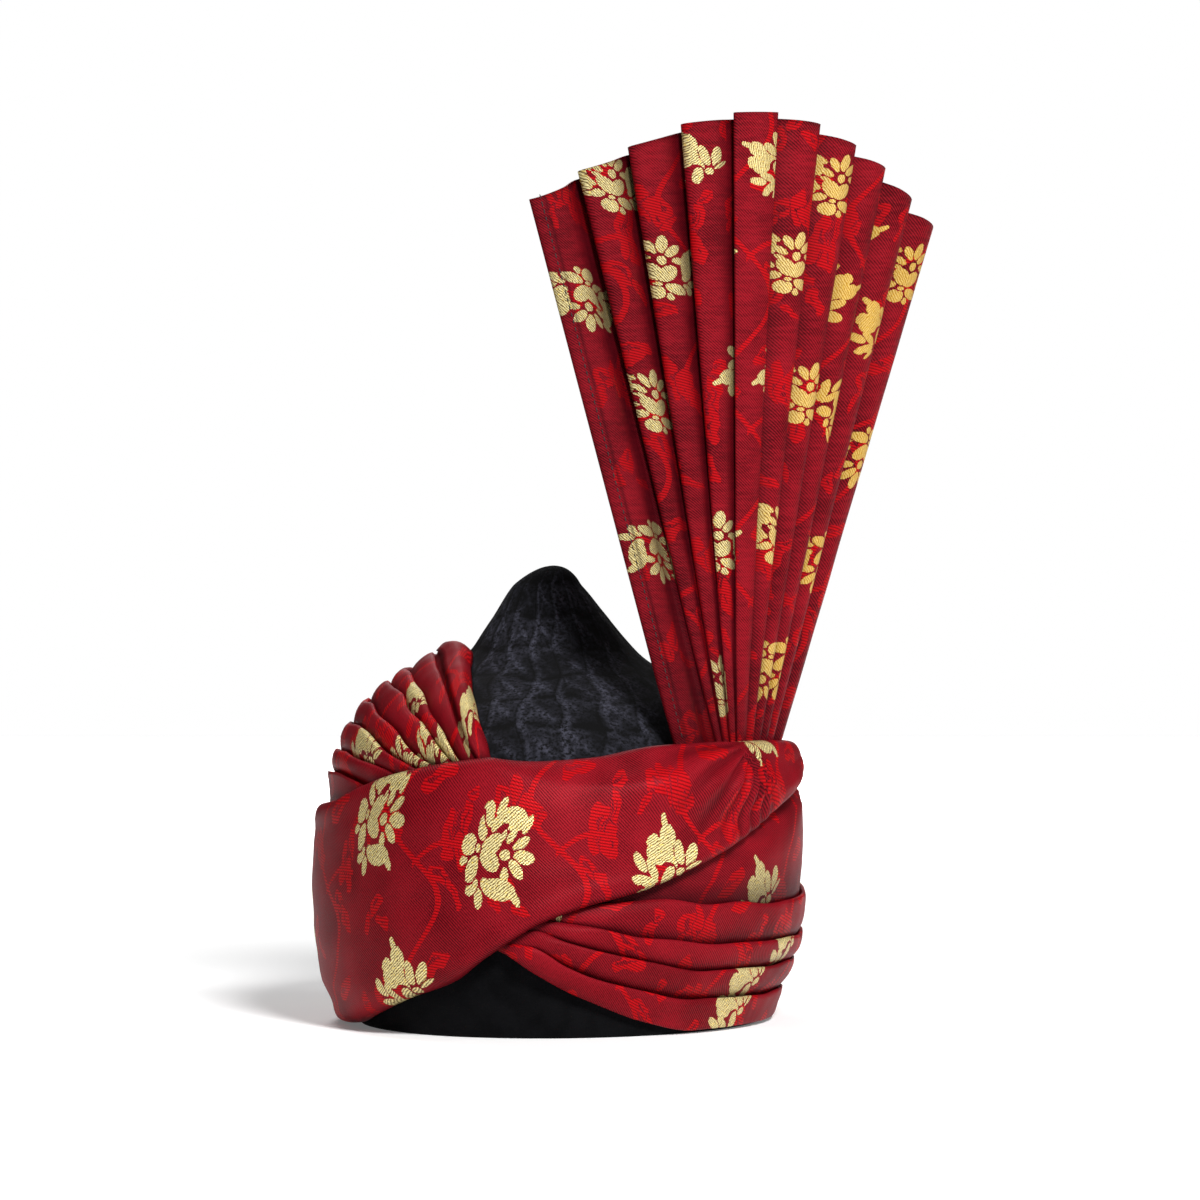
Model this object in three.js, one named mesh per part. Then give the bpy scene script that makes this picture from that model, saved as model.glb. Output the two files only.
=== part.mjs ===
// Ready-tied turban: a stiff cap wound with two crossing wraps of brocade,
// with a tall pleated fan rising at the wearer's left.
// Millimetres, +Z up. The forehead faces -Y and the fan stands on the +X side.
import * as THREE from "three";

// Driving sizes, in millimetres.
const CAP_HALF_WIDTH = 93; // outside of the brow band, side to side
const CAP_HEIGHT = 197; // rim to the tip of the crown
const BROW_HEIGHT = 95; // height of the padded brow band
const HEAD_HALF_WIDTH = 79; // hollow of the brow band, side to side
const HEAD_HALF_LENGTH = 98; // hollow of the brow band, front to back
const BAND_EASE = 0.5; // how far the band draws in under the wraps
const CROWN_THICK = 2.5; // felt and cloth of the crown
const CROWN_EASE = 0.8; // how far the crown draws in under the wraps
const FLANK = 239; // length over the cap's side, rim to tip
const LAYER_GAP = 0.6; // play between one layer and the next
const WRAP_BUILD = 9; // pleated wrap, where it lies open
const WRAP_PRESSED = 5.5; // pleated wrap, where the front wrap presses on it
const WRAP_AT_RIM = 3; // pleated wrap at the rim, where it thins out
const PLEAT_DEPTH = 2.6; // step from one lap of a pleat to the next
const FRONT_THICK = 4; // folded cloth of the front wrap
const FAN_PANEL = 23.2; // width of one laid pleat at the fan's top
const FAN_HEIGHT = 384; // rim to the top of the fan
const FAN_THICK = 1.3; // starched cloth of the fan
const FAN_FOLD = 5.5; // how far a pleat folds behind the next at the top
const FAN_UNDERLAP = 7; // how far a pleat reaches under the next at the top
const FAN_ROOT_FOLD = 1.9; // the same at the root, where the pleats are pinched
const FAN_TUCK = 16; // length of the root between the wraps
const FAN_SEAT = 1.3; // how far the root's middle lies inside the pocket's top
const FAN_START = [20.4, -117.1]; // plan position of the fan's left top corner
const POCKET = 6; // room under the front wrap for the fan's root
const STEPS = 60; // facets round the head
const CROWN_STEPS = 60; // facets round the crown

// Cap's side, rim to tip. r: share of CAP_HALF_WIDTH, z: share of CAP_HEIGHT.
const CAP_PROFILE = [
  { r: 0.921, z: 0 },
  { r: 0.95, z: 0.051 },
  { r: 0.981, z: 0.132 },
  { r: 1.003, z: 0.203 },
  { r: 1.009, z: 0.264 },
  { r: 0.992, z: 0.482 },
  { r: 0.95, z: 0.558 },
  { r: 0.871, z: 0.635 },
  { r: 0.742, z: 0.695 },
  { r: 0.581, z: 0.741 },
  { r: 0.452, z: 0.777 },
  { r: 0.419, z: 0.787 },
  { r: 0.339, z: 0.832 },
  { r: 0.234, z: 0.904 },
  { r: 0.151, z: 0.959 },
  { r: 0.083, z: 0.987 },
  { r: 0, z: 1 },
];

// Head's oval and lean by height. z: share of CAP_HEIGHT, deep: length over
// width, lean: sideways shift as a share of CAP_HALF_WIDTH.
const CAP_OVAL = [
  { z: 0, deep: 1.204, lean: 0 },
  { z: 0.48, deep: 1.204, lean: 0 },
  { z: 0.61, deep: 1.18, lean: -0.01 },
  { z: 0.8, deep: 1.12, lean: -0.048 },
  { z: 0.95, deep: 1.1, lean: -0.075 },
  { z: 1, deep: 1.1, lean: -0.04 },
];

// Pleated wrap: where each fold line runs round the head, as shares of FLANK.
// turn: degrees from the forehead toward the fan. low to a: laps of the right
// side, h to b: rolls of the left side, top: the free edge.
const PLEAT_COLUMNS = ["low", "d", "c", "e", "a", "h", "g", "f", "k", "m", "n", "b", "top"];
const PLEAT_LINES = [
  { turn: -100, at: [0.05, 0.142, 0.184, 0.226, 0.268, 0.356, 0.414, 0.473, 0.531, 0.586, 0.64, 0.695, 0.745] },
  { turn: -75, at: [0.04, 0.18, 0.218, 0.255, 0.293, 0.439, 0.477, 0.523, 0.569, 0.615, 0.655, 0.709, 0.766] },
  { turn: -54, at: [0.05, 0.197, 0.226, 0.255, 0.285, 0.444, 0.477, 0.523, 0.563, 0.609, 0.646, 0.701, 0.77] },
  { turn: -45, at: [0.07, 0.203, 0.228, 0.255, 0.285, 0.437, 0.469, 0.513, 0.548, 0.598, 0.632, 0.688, 0.764] },
  { turn: -37, at: [0.09, 0.209, 0.234, 0.259, 0.285, 0.427, 0.46, 0.498, 0.533, 0.584, 0.615, 0.667, 0.745] },
  { turn: -29, at: [0.11, 0.209, 0.234, 0.259, 0.28, 0.414, 0.448, 0.477, 0.513, 0.556, 0.594, 0.642, 0.715] },
  { turn: -21, at: [0.13, 0.205, 0.23, 0.253, 0.276, 0.402, 0.433, 0.458, 0.481, 0.529, 0.556, 0.607, 0.68] },
  { turn: -14, at: [0.15, 0.199, 0.224, 0.247, 0.27, 0.389, 0.414, 0.439, 0.46, 0.494, 0.521, 0.563, 0.634] },
  { turn: -9, at: [0.16, 0.195, 0.218, 0.239, 0.259, 0.381, 0.402, 0.423, 0.444, 0.467, 0.483, 0.523, 0.596] },
  { turn: -5, at: [0.167, 0.19, 0.209, 0.23, 0.247, 0.377, 0.393, 0.412, 0.429, 0.446, 0.46, 0.481, 0.552] },
  { turn: -2, at: [0.165, 0.184, 0.203, 0.222, 0.238, 0.368, 0.385, 0.402, 0.418, 0.433, 0.446, 0.46, 0.521] },
  { turn: 1, at: [0.163, 0.18, 0.197, 0.213, 0.23, 0.36, 0.377, 0.391, 0.406, 0.418, 0.431, 0.444, 0.475] },
  { turn: 4, at: [0.157, 0.176, 0.19, 0.207, 0.222, 0.351, 0.366, 0.381, 0.393, 0.406, 0.418, 0.431, 0.448] },
  { turn: 12, at: [0.121, 0.167, 0.192, 0.211, 0.226, 0.351, 0.364, 0.377, 0.387, 0.397, 0.408, 0.418, 0.427] },
  { turn: 20, at: [0.088, 0.132, 0.174, 0.203, 0.226, 0.351, 0.362, 0.372, 0.383, 0.393, 0.402, 0.41, 0.418] },
  { turn: 28, at: [0.063, 0.107, 0.157, 0.194, 0.234, 0.356, 0.366, 0.374, 0.383, 0.391, 0.399, 0.408, 0.416] },
  { turn: 40, at: [0.031, 0.082, 0.136, 0.176, 0.238, 0.366, 0.372, 0.381, 0.389, 0.397, 0.404, 0.412, 0.42] },
  { turn: 56, at: [0.008, 0.063, 0.115, 0.163, 0.23, 0.389, 0.397, 0.405, 0.413, 0.421, 0.429, 0.437, 0.446] },
  { turn: 80, at: [0.008, 0.059, 0.113, 0.159, 0.222, 0.425, 0.431, 0.438, 0.444, 0.451, 0.457, 0.464, 0.471] },
  { turn: 100, at: [0.008, 0.059, 0.113, 0.159, 0.226, 0.45, 0.456, 0.463, 0.469, 0.476, 0.482, 0.489, 0.496] },
  { turn: 130, at: [0.008, 0.059, 0.117, 0.176, 0.243, 0.326, 0.36, 0.389, 0.414, 0.439, 0.464, 0.494, 0.521] },
  { turn: 180, at: [0.017, 0.067, 0.126, 0.184, 0.243, 0.31, 0.36, 0.41, 0.452, 0.494, 0.536, 0.577, 0.619] },
  { turn: 220, at: [0.042, 0.092, 0.142, 0.192, 0.243, 0.301, 0.36, 0.414, 0.469, 0.523, 0.577, 0.632, 0.686] },
];

// Front wrap: its lower and upper edge round the head, as shares of FLANK,
// with its thickness as a share of FRONT_THICK and the height of the pleats
// under it as a share of WRAP_PRESSED. turn: degrees, as above.
const FRONT_EDGES = [
  { turn: -240, low: 0.42, high: 0.49, thick: 0.6, press: 1 },
  { turn: -228, low: 0.37, high: 0.49, thick: 0.8, press: 1 },
  { turn: -210, low: 0.22, high: 0.455, thick: 0.9, press: 1 },
  { turn: -180, low: 0.126, high: 0.42, thick: 1, press: 1 },
  { turn: -150, low: 0.063, high: 0.4, thick: 1, press: 1 },
  { turn: -120, low: 0.017, high: 0.385, thick: 1, press: 1 },
  { turn: -90, low: 0.008, high: 0.385, thick: 1, press: 1 },
  { turn: -65, low: 0.008, high: 0.392, thick: 1, press: 1 },
  { turn: -49, low: 0.013, high: 0.402, thick: 1, press: 1 },
  { turn: -36, low: 0.038, high: 0.427, thick: 1, press: 1 },
  { turn: -22, low: 0.071, high: 0.452, thick: 1.05, press: 1 },
  { turn: -8.5, low: 0.102, high: 0.469, thick: 1.1, press: 1 },
  { turn: 1.5, low: 0.15, high: 0.477, thick: 1.1, press: 1 },
  { turn: 14, low: 0.205, high: 0.48, thick: 1.1, press: 1 },
  { turn: 25, low: 0.234, high: 0.485, thick: 1.1, press: 1 },
  { turn: 36.5, low: 0.255, high: 0.493, thick: 1.1, press: 1 },
  { turn: 52, low: 0.297, high: 0.498, thick: 1.1, press: 1 },
  { turn: 64.5, low: 0.335, high: 0.496, thick: 1.15, press: 0.85 },
  { turn: 81.5, low: 0.389, high: 0.493, thick: 1.1, press: 0.65 },
  { turn: 95, low: 0.425, high: 0.49, thick: 0.95, press: 0.6 },
  { turn: 108, low: 0.445, high: 0.482, thick: 0.6, press: 0.7 },
];

// Fan, one row for each laid pleat, left to right. heading: direction of its
// top edge in plan, degrees. high: height of its left corner as a share of
// FAN_HEIGHT. root: turn of its left side where it enters the wraps, degrees.
const FAN_PLEATS = [
  { heading: 50, high: 0.8935, root: 50 },
  { heading: 44, high: 0.9266, root: 64.5 },
  { heading: 36, high: 0.9547, root: 67 },
  { heading: 34, high: 0.981, root: 69.5 },
  { heading: 48, high: 0.9953, root: 72 },
  { heading: 56, high: 0.9984, root: 75 },
  { heading: 64, high: 0.988, root: 78 },
  { heading: 72, high: 0.9682, root: 81.5 },
  { heading: 74, high: 0.9471, root: 85 },
  { heading: 80, high: 0.9156, root: 89 },
];
const FAN_END = { high: 0.8883, root: 96 }; // right corner of the last pleat
const FAN_MIDDLE = 4; // row of the box pleat that overlaps both neighbours
// Rows up the fan as shares of its free length, from where it leaves the wraps.
const FAN_ROWS = [0, 0.03, 0.08, 0.16, 0.28, 0.42, 0.57, 0.72, 0.87, 1];

const rad = (degrees) => (degrees * Math.PI) / 180;
const clamp = (x, low, high) => Math.min(Math.max(x, low), high);
const ease = (x) => {
  const t = clamp(x, 0, 1);
  return t * t * (3 - 2 * t);
};
const mix = (a, b, t) => a + (b - a) * t;

// Reads column `pick` of a table by `key`, straight between its rows.
function read(table, key, pick, x) {
  if (x <= table[0][key]) return pick(table[0]);
  for (let i = 1; i < table.length; i += 1) {
    if (x <= table[i][key]) {
      const t = (x - table[i - 1][key]) / (table[i][key] - table[i - 1][key]);
      return mix(pick(table[i - 1]), pick(table[i]), t);
    }
  }
  return pick(table[table.length - 1]);
}

// Length over the cap's side to each row of its profile.
const flankAt = [0];
for (let i = 1; i < CAP_PROFILE.length; i += 1) {
  const across = (CAP_PROFILE[i].r - CAP_PROFILE[i - 1].r) * CAP_HALF_WIDTH;
  const up = (CAP_PROFILE[i].z - CAP_PROFILE[i - 1].z) * CAP_HEIGHT;
  flankAt.push(flankAt[i - 1] + Math.hypot(across, up));
}
const flankEnd = flankAt[flankAt.length - 1];
const side = CAP_PROFILE.map((row, i) => ({ s: flankAt[i], r: row.r * CAP_HALF_WIDTH, z: row.z * CAP_HEIGHT }));

// One point of the cap's side, mirrored past its tip.
function sidePoint(s) {
  const past = s > flankEnd;
  const at = past ? 2 * flankEnd - s : s;
  const r = read(side, "s", (row) => row.r, at);
  const z = read(side, "s", (row) => row.z, at) + Math.min(at, 0);
  return { r: past ? -r : r, z };
}

// The same, rounded over a hand's breadth of a few millimetres.
function roundedSide(s) {
  let r = 0;
  let z = 0;
  for (const shift of [-8, -4, 0, 4, 8]) {
    const p = sidePoint(s + shift);
    r += p.r / 5;
    z += p.z / 5;
  }
  return { r, z };
}

// A point over the cap: turn in degrees, s along the side, t out from it.
function over(turn, s, t) {
  const p = roundedSide(s);
  const a = roundedSide(s - 1);
  const b = roundedSide(s + 1);
  const long = Math.hypot(b.r - a.r, b.z - a.z);
  const outR = (b.z - a.z) / long;
  const outZ = -(b.r - a.r) / long;
  const share = p.z / CAP_HEIGHT;
  const deep = read(CAP_OVAL, "z", (row) => row.deep, share);
  const lean = read(CAP_OVAL, "z", (row) => row.lean, share) * CAP_HALF_WIDTH;
  const x = lean + (p.r + t * outR) * Math.sin(rad(turn));
  const y = -(p.r * deep + t * outR) * Math.cos(rad(turn));
  return new THREE.Vector3(x, y, p.z + t * outZ);
}

// Turn brought into the range that a table covers.
const around = (turn, from) => from + ((((turn - from) % 360) + 360) % 360);

// Fold lines of the pleated wrap at one turn, in millimetres over the side.
const wrapRows = PLEAT_LINES.concat([{ turn: 260, at: PLEAT_LINES[0].at }]);
function pleatLines(turn) {
  const at = around(turn, -100);
  return PLEAT_COLUMNS.map((name, i) => read(wrapRows, "turn", (row) => row.at[i], at) * FLANK);
}

// Edges of the front wrap at one turn, in millimetres over the side.
function frontEdges(turn) {
  const low = read(FRONT_EDGES, "turn", (row) => row.low, turn) * FLANK;
  const high = read(FRONT_EDGES, "turn", (row) => row.high, turn) * FLANK;
  const thick = read(FRONT_EDGES, "turn", (row) => row.thick, turn) * FRONT_THICK;
  const press = read(FRONT_EDGES, "turn", (row) => row.press, turn) * WRAP_PRESSED;
  return { low, high, thick, press };
}

// Whole build of the pleated wrap at a place, before its folds are let in.
function wrapBuild(turn, s) {
  const front = frontEdges(around(turn, -253));
  const covered = 1 - ease((front.low + 1 - s) / 12) - ease((s - front.high - 2) / 12);
  const toRim = mix(WRAP_AT_RIM, WRAP_BUILD, ease((s - 4) / (0.16 * FLANK)));
  return mix(toRim, Math.min(toRim, front.press), clamp(covered, 0, 1));
}

// Room that the pleated wrap takes up under the front wrap.
function wrapRoom(turn, s) {
  const lines = pleatLines(turn);
  const low = ease((s - lines[0] + 18) / 14);
  const high = ease((lines[12] + 14 - s) / 12);
  return LAYER_GAP + (wrapBuild(turn, s) + 0.8) * low * high;
}

// Room that the fan's root takes up between the two wraps.
function rootRoom(turn, s) {
  const at = around(turn, -120);
  return POCKET * ease((at - 28) / 15) * ease((110 - at) / 12) * ease((s - 0.37 * FLANK) / 14);
}

// Joins rows of points into one closed skin and gives it outward faces.
function skin(rows, closedRound, closedAcross) {
  const points = [];
  const faces = [];
  const index = rows.map((row) => row.map((p) => points.push(p) - 1));
  const last = closedRound ? rows.length : rows.length - 1;
  for (let i = 0; i < last; i += 1) {
    const a = index[i];
    const b = index[(i + 1) % rows.length];
    const across = closedAcross ? a.length : a.length - 1;
    for (let j = 0; j < across; j += 1) {
      const k = (j + 1) % a.length;
      faces.push([a[j], b[j], b[k]], [a[j], b[k], a[k]]);
    }
  }
  return { points, faces, index };
}

function body(name, points, faces, material) {
  let volume = 0;
  for (const [a, b, c] of faces) volume += points[a].dot(points[b].clone().cross(points[c]));
  const flat = [];
  for (const [a, b, c] of faces) {
    if (volume > 0) flat.push(a, b, c);
    else flat.push(a, c, b);
  }
  const geometry = new THREE.BufferGeometry();
  const xyz = points.flatMap((p) => [p.x, p.y, p.z]);
  geometry.setAttribute("position", new THREE.Float32BufferAttribute(xyz, 3));
  geometry.setIndex(flat);
  geometry.computeVertexNormals();
  const mesh = new THREE.Mesh(geometry, material);
  mesh.name = name;
  return mesh;
}

// Closes the two ends of a strip whose rows hold an outer and an inner half.
function endFaces(index, half) {
  const faces = [];
  for (const [row, turnedOver] of [[index[0], false], [index[index.length - 1], true]]) {
    for (let j = 0; j < half - 1; j += 1) {
      const a = row[j];
      const b = row[j + 1];
      const c = row[row.length - 2 - j];
      const d = row[row.length - 1 - j];
      const pair = [[a, b, c], [a, c, d]];
      for (const [x, y, z] of pair) faces.push(turnedOver ? [x, z, y] : [x, y, z]);
    }
  }
  return faces;
}

const black = new THREE.MeshStandardMaterial({ color: 0x17171c, roughness: 0.85 });
const blackBand = new THREE.MeshStandardMaterial({ color: 0x0c0c0e, roughness: 0.95 });
const red = new THREE.MeshStandardMaterial({ color: 0x8e1424, roughness: 0.5 });
const redFront = new THREE.MeshStandardMaterial({ color: 0x9a1828, roughness: 0.5 });
const redFan = new THREE.MeshStandardMaterial({ color: 0xa51c2c, roughness: 0.5 });

// Brow band: a padded ring round the head's oval, standing on its flat rim.
function browBand() {
  const soft = 2; // rounding of its edges
  const section = [
    { inner: true, out: 1, z: 0 },
    { inner: false, out: -1.5, z: 0 },
    { inner: false, out: 0, z: soft },
    { inner: false, out: 0, z: 0.16 * BROW_HEIGHT },
    { inner: false, out: 0, z: 0.35 * BROW_HEIGHT },
    { inner: false, out: 0, z: 0.62 * BROW_HEIGHT },
    { inner: false, out: 0, z: BROW_HEIGHT - soft },
    { inner: false, out: -soft, z: BROW_HEIGHT },
    { inner: true, out: soft, z: BROW_HEIGHT },
    { inner: true, out: 0, z: BROW_HEIGHT - soft },
    { inner: true, out: 0, z: 0.5 * BROW_HEIGHT },
    { inner: true, out: 0, z: soft },
  ];
  const rows = [];
  for (let i = 0; i < STEPS; i += 1) {
    const turn = (360 * i) / STEPS;
    rows.push(section.map((p) => {
      const r = roundedSide(p.z).r - BAND_EASE;
      const wide = (p.inner ? HEAD_HALF_WIDTH : r) + p.out;
      const long = (p.inner ? HEAD_HALF_LENGTH : r * CAP_OVAL[0].deep) + p.out;
      return new THREE.Vector3(wide * Math.sin(rad(turn)), -long * Math.cos(rad(turn)), p.z);
    }));
  }
  const s = skin(rows, true, true);
  return body("cap_band", s.points, s.faces, blackBand);
}

// Crown: a thin dome with a soft point, open below, that stands on the band.
function crown() {
  const start = 0.4 * FLANK + LAYER_GAP;
  const outer = [0, 0.08, 0.17, 0.26, 0.36, 0.46, 0.56, 0.68, 0.8, 0.9, 0.97];
  const inner = [0.96, 0.88, 0.74, 0.56, 0.42, 0.28, 0.14, 0];
  const rows = [];
  for (let i = 0; i < CROWN_STEPS; i += 1) {
    const turn = (360 * i) / CROWN_STEPS;
    const foot = BROW_HEIGHT + LAYER_GAP;
    const row = outer.map((share) => over(turn, mix(start, flankEnd, share), -CROWN_EASE));
    for (const share of inner) row.push(over(turn, mix(start, flankEnd, share), -CROWN_THICK));
    row[0].z = foot;
    row[row.length - 1].z = foot;
    rows.push(row);
  }
  const s = skin(rows, true, false);
  const tip = s.points.push(over(0, flankEnd, -CROWN_EASE)) - 1;
  const underTip = s.points.push(over(0, flankEnd, -CROWN_THICK)) - 1;
  const at = outer.length - 1;
  const closed = [];
  for (const face of s.faces) {
    // The gap between the last outer and the first inner row is not skinned.
    const ranks = face.map((v) => v % rows[0].length);
    if (!(Math.min(...ranks) <= at && Math.max(...ranks) > at)) closed.push(face);
  }
  for (let i = 0; i < CROWN_STEPS; i += 1) {
    const next = (i + 1) % CROWN_STEPS;
    closed.push([s.index[i][at], s.index[next][at], tip]);
    closed.push([s.index[next][at + 1], s.index[i][at + 1], underTip]);
    const last = rows[0].length - 1;
    closed.push([s.index[i][last], s.index[next][last], s.index[next][0]]);
    closed.push([s.index[i][last], s.index[next][0], s.index[i][0]]);
  }
  return body("cap_crown", s.points, closed, black);
}

// How far the folds of the pleated wrap show at a turn: laps on the right,
// rolls on the left, both round the back.
function foldShow(turn, band) {
  const at = around(turn, -180);
  const laps = ease((at - 4) / 16) + ease((-105 - at) / 20);
  const rolls = ease((-2 - at) / 10) + ease((at - 108) / 20);
  return clamp(band < 5 ? laps : rolls, 0, 1);
}

// Shares of a lap's width and of its depth at its tucked side and its crest.
const LAP = [[0, 1], [0.82, 0.1]];
const BROAD_LAP = [[0, 1], [0.3, 0.3], [0.55, 0.1], [0.85, 0.05]];

// Pleated wrap: gathered behind the front wrap, laid open on both sides.
function pleatedWrap() {
  const edge = 6;
  const under = [1, 0.93, 0.86, 0.78, 0.7, 0.62, 0.54, 0.42, 0.2, 0];
  const rows = [];
  for (let i = 0; i < STEPS; i += 1) {
    const turn = (360 * i) / STEPS;
    const lines = pleatLines(turn);
    const row = [];
    for (let band = 0; band < 12; band += 1) {
      const wide = lines[band + 1] - lines[band];
      const show = foldShow(turn, band) * Math.min(1, wide / 6) * PLEAT_DEPTH;
      for (const [share, sink] of band === 4 ? BROAD_LAP : LAP) {
        const s = lines[band] + share * wide;
        const fromEdge = Math.min(s - lines[0], lines[12] - s);
        const rise = clamp(fromEdge / edge, 0, 1);
        const round = Math.sqrt(1 - (1 - rise) * (1 - rise));
        const build = mix(1.6, wrapBuild(turn, s), round) - (band > 0 || share > 0 ? show * sink * round : 0);
        row.push(over(turn, s, LAYER_GAP + build));
      }
    }
    row.push(over(turn, lines[12], LAYER_GAP + 2.4));
    for (const share of under) row.push(over(turn, mix(lines[0], lines[12], share), LAYER_GAP));
    rows.push(row);
  }
  const s = skin(rows, true, true);
  return body("pleated_wrap", s.points, s.faces, red);
}

// Front wrap: a broad smooth fold over the pleated wrap, wound once round.
function frontWrap() {
  const shares = [0, 0.05, 0.22, 0.42, 0.6, 0.76, 0.89, 0.97, 1];
  const rise = [0.35, 0.8, 1, 1, 1, 1, 1.05, 0.9, 0.4];
  const from = FRONT_EDGES[0].turn;
  const to = FRONT_EDGES[FRONT_EDGES.length - 1].turn;
  const steps = Math.round((STEPS * (to - from)) / 360);
  const rows = [];
  for (let i = 0; i <= steps; i += 1) {
    const turn = mix(from, to, i / steps);
    const { low, high, thick } = frontEdges(turn);
    const outer = shares.map((share, j) => {
      const s = mix(low, high, share);
      const room = wrapRoom(turn, s) + rootRoom(turn, s) + LAYER_GAP;
      return over(turn, s, room + thick * rise[j]);
    });
    const inner = shares.map((share) => {
      const s = mix(low, high, share);
      return over(turn, s, wrapRoom(turn, s) + rootRoom(turn, s) + LAYER_GAP);
    });
    rows.push(outer.concat(inner.reverse()));
  }
  const s = skin(rows, false, true);
  const faces = s.faces.concat(endFaces(s.index, shares.length));
  return body("front_wrap", s.points, faces, redFront);
}

// Columns of the fan's pleats: crest, folded-under edge and middle of each.
function fanColumns() {
  const corners = [{ x: FAN_START[0], y: FAN_START[1] }];
  for (const pleat of FAN_PLEATS) {
    const last = corners[corners.length - 1];
    corners.push({
      x: last.x + FAN_PANEL * Math.cos(rad(pleat.heading)),
      y: last.y + FAN_PANEL * Math.sin(rad(pleat.heading)),
    });
  }
  const columns = [];
  const put = (pleat, share, under) => {
    const row = FAN_PLEATS[pleat];
    const next = pleat + 1 < FAN_PLEATS.length ? FAN_PLEATS[pleat + 1] : FAN_END;
    const along = { x: Math.cos(rad(row.heading)), y: Math.sin(rad(row.heading)) };
    columns.push({
      x: mix(corners[pleat].x, corners[pleat + 1].x, share),
      y: mix(corners[pleat].y, corners[pleat + 1].y, share),
      along,
      z: mix(row.high, next.high, share) * FAN_HEIGHT - Math.abs(under) * 2,
      root: mix(row.root, next.root, share),
      under,
    });
  };
  for (let pleat = 0; pleat < FAN_PLEATS.length; pleat += 1) {
    const left = pleat > FAN_MIDDLE ? -1 : 0;
    const right = pleat < FAN_MIDDLE ? 1 : 0;
    put(pleat, 0, left);
    put(pleat, 0.5, (left + right) * 0.42);
    put(pleat, 1, right);
  }
  return columns;
}

// Middle surface of the fan: a column and a height share, below 0 in the root.
function fanPoint(column, share) {
  const behind = Math.abs(column.under);
  const leave = frontEdges(column.root).high + 1;
  const s = leave + Math.min(share, 0) * FAN_TUCK;
  const seat = wrapRoom(column.root, s) + rootRoom(column.root, s) - FAN_SEAT;
  const foot = over(column.root, s, seat - behind * FAN_ROOT_FOLD);
  if (share <= 0) return foot;
  const spread = ease(share * 1.6);
  const fold = behind * mix(FAN_ROOT_FOLD, FAN_FOLD, spread);
  const reach = column.under * FAN_UNDERLAP * spread;
  const top = new THREE.Vector3(
    column.x + column.along.x * reach - column.along.y * fold,
    column.y + column.along.y * reach + column.along.x * fold,
    column.z,
  );
  return foot.lerp(top, share);
}

// Fan: one starched cloth laid in ten pleats, its root tucked into the wraps.
function fan() {
  const columns = fanColumns();
  const shares = [-1, -0.45].concat(FAN_ROWS);
  const grid = shares.map((share) => columns.map((column) => fanPoint(column, share)));
  const front = [];
  const back = [];
  for (let i = 0; i < grid.length; i += 1) {
    const frontRow = [];
    const backRow = [];
    for (let j = 0; j < columns.length; j += 1) {
      const up = grid[Math.min(i + 1, grid.length - 1)][j].clone().sub(grid[Math.max(i - 1, 0)][j]).normalize();
      const arms = [];
      for (const [a, b] of [[j - 1, j], [j, j + 1]]) {
        if (a < 0 || b >= columns.length) continue;
        const arm = grid[i][b].clone().sub(grid[i][a]);
        arms.push(arm.cross(up).normalize());
      }
      const normal = arms.reduce((sum, arm) => sum.add(arm), new THREE.Vector3());
      const bend = normal.length() / arms.length;
      normal.normalize().multiplyScalar((0.5 * FAN_THICK) / Math.max(bend, 0.75));
      frontRow.push(grid[i][j].clone().add(normal));
      backRow.push(grid[i][j].clone().sub(normal));
    }
    front.push(frontRow);
    back.push(backRow);
  }
  const rows = front.map((row, i) => row.concat(back[i].reverse()));
  const s = skin(rows, false, true);
  const faces = s.faces.concat(endFaces(s.index, columns.length));
  return body("fan", s.points, faces, redFan);
}

const turban = new THREE.Group();
turban.name = "tied_turban";
for (const piece of [browBand(), crown(), pleatedWrap(), frontWrap(), fan()]) turban.add(piece);

// The whole stands on z = 0 over the middle of its outline.
const box = new THREE.Box3().setFromObject(turban);
turban.position.set(-(box.min.x + box.max.x) / 2, -(box.min.y + box.max.y) / 2, -box.min.z);
turban.updateMatrixWorld(true);

export default turban;
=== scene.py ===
# Ready-tied turban: cloth, folds, weave, stitches, light and camera over the CAD frame.
# Sizes are in millimetres until a mesh is made; azimuths ("turn") run from the forehead to the fan.
import math
import bpy
import numpy as np
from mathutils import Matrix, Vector


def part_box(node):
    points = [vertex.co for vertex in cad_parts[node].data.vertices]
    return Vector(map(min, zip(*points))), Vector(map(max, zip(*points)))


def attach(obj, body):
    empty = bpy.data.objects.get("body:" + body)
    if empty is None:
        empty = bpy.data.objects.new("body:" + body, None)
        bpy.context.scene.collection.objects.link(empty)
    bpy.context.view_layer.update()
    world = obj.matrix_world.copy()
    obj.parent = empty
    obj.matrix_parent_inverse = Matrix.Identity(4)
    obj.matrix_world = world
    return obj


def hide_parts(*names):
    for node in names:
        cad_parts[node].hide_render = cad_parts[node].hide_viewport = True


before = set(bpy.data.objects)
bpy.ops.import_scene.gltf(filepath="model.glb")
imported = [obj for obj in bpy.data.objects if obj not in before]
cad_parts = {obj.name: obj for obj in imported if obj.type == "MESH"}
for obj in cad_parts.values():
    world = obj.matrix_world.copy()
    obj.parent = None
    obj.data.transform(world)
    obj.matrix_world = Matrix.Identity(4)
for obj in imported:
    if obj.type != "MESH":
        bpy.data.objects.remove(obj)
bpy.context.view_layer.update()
MM = 0.001
QUICK = 1

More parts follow.
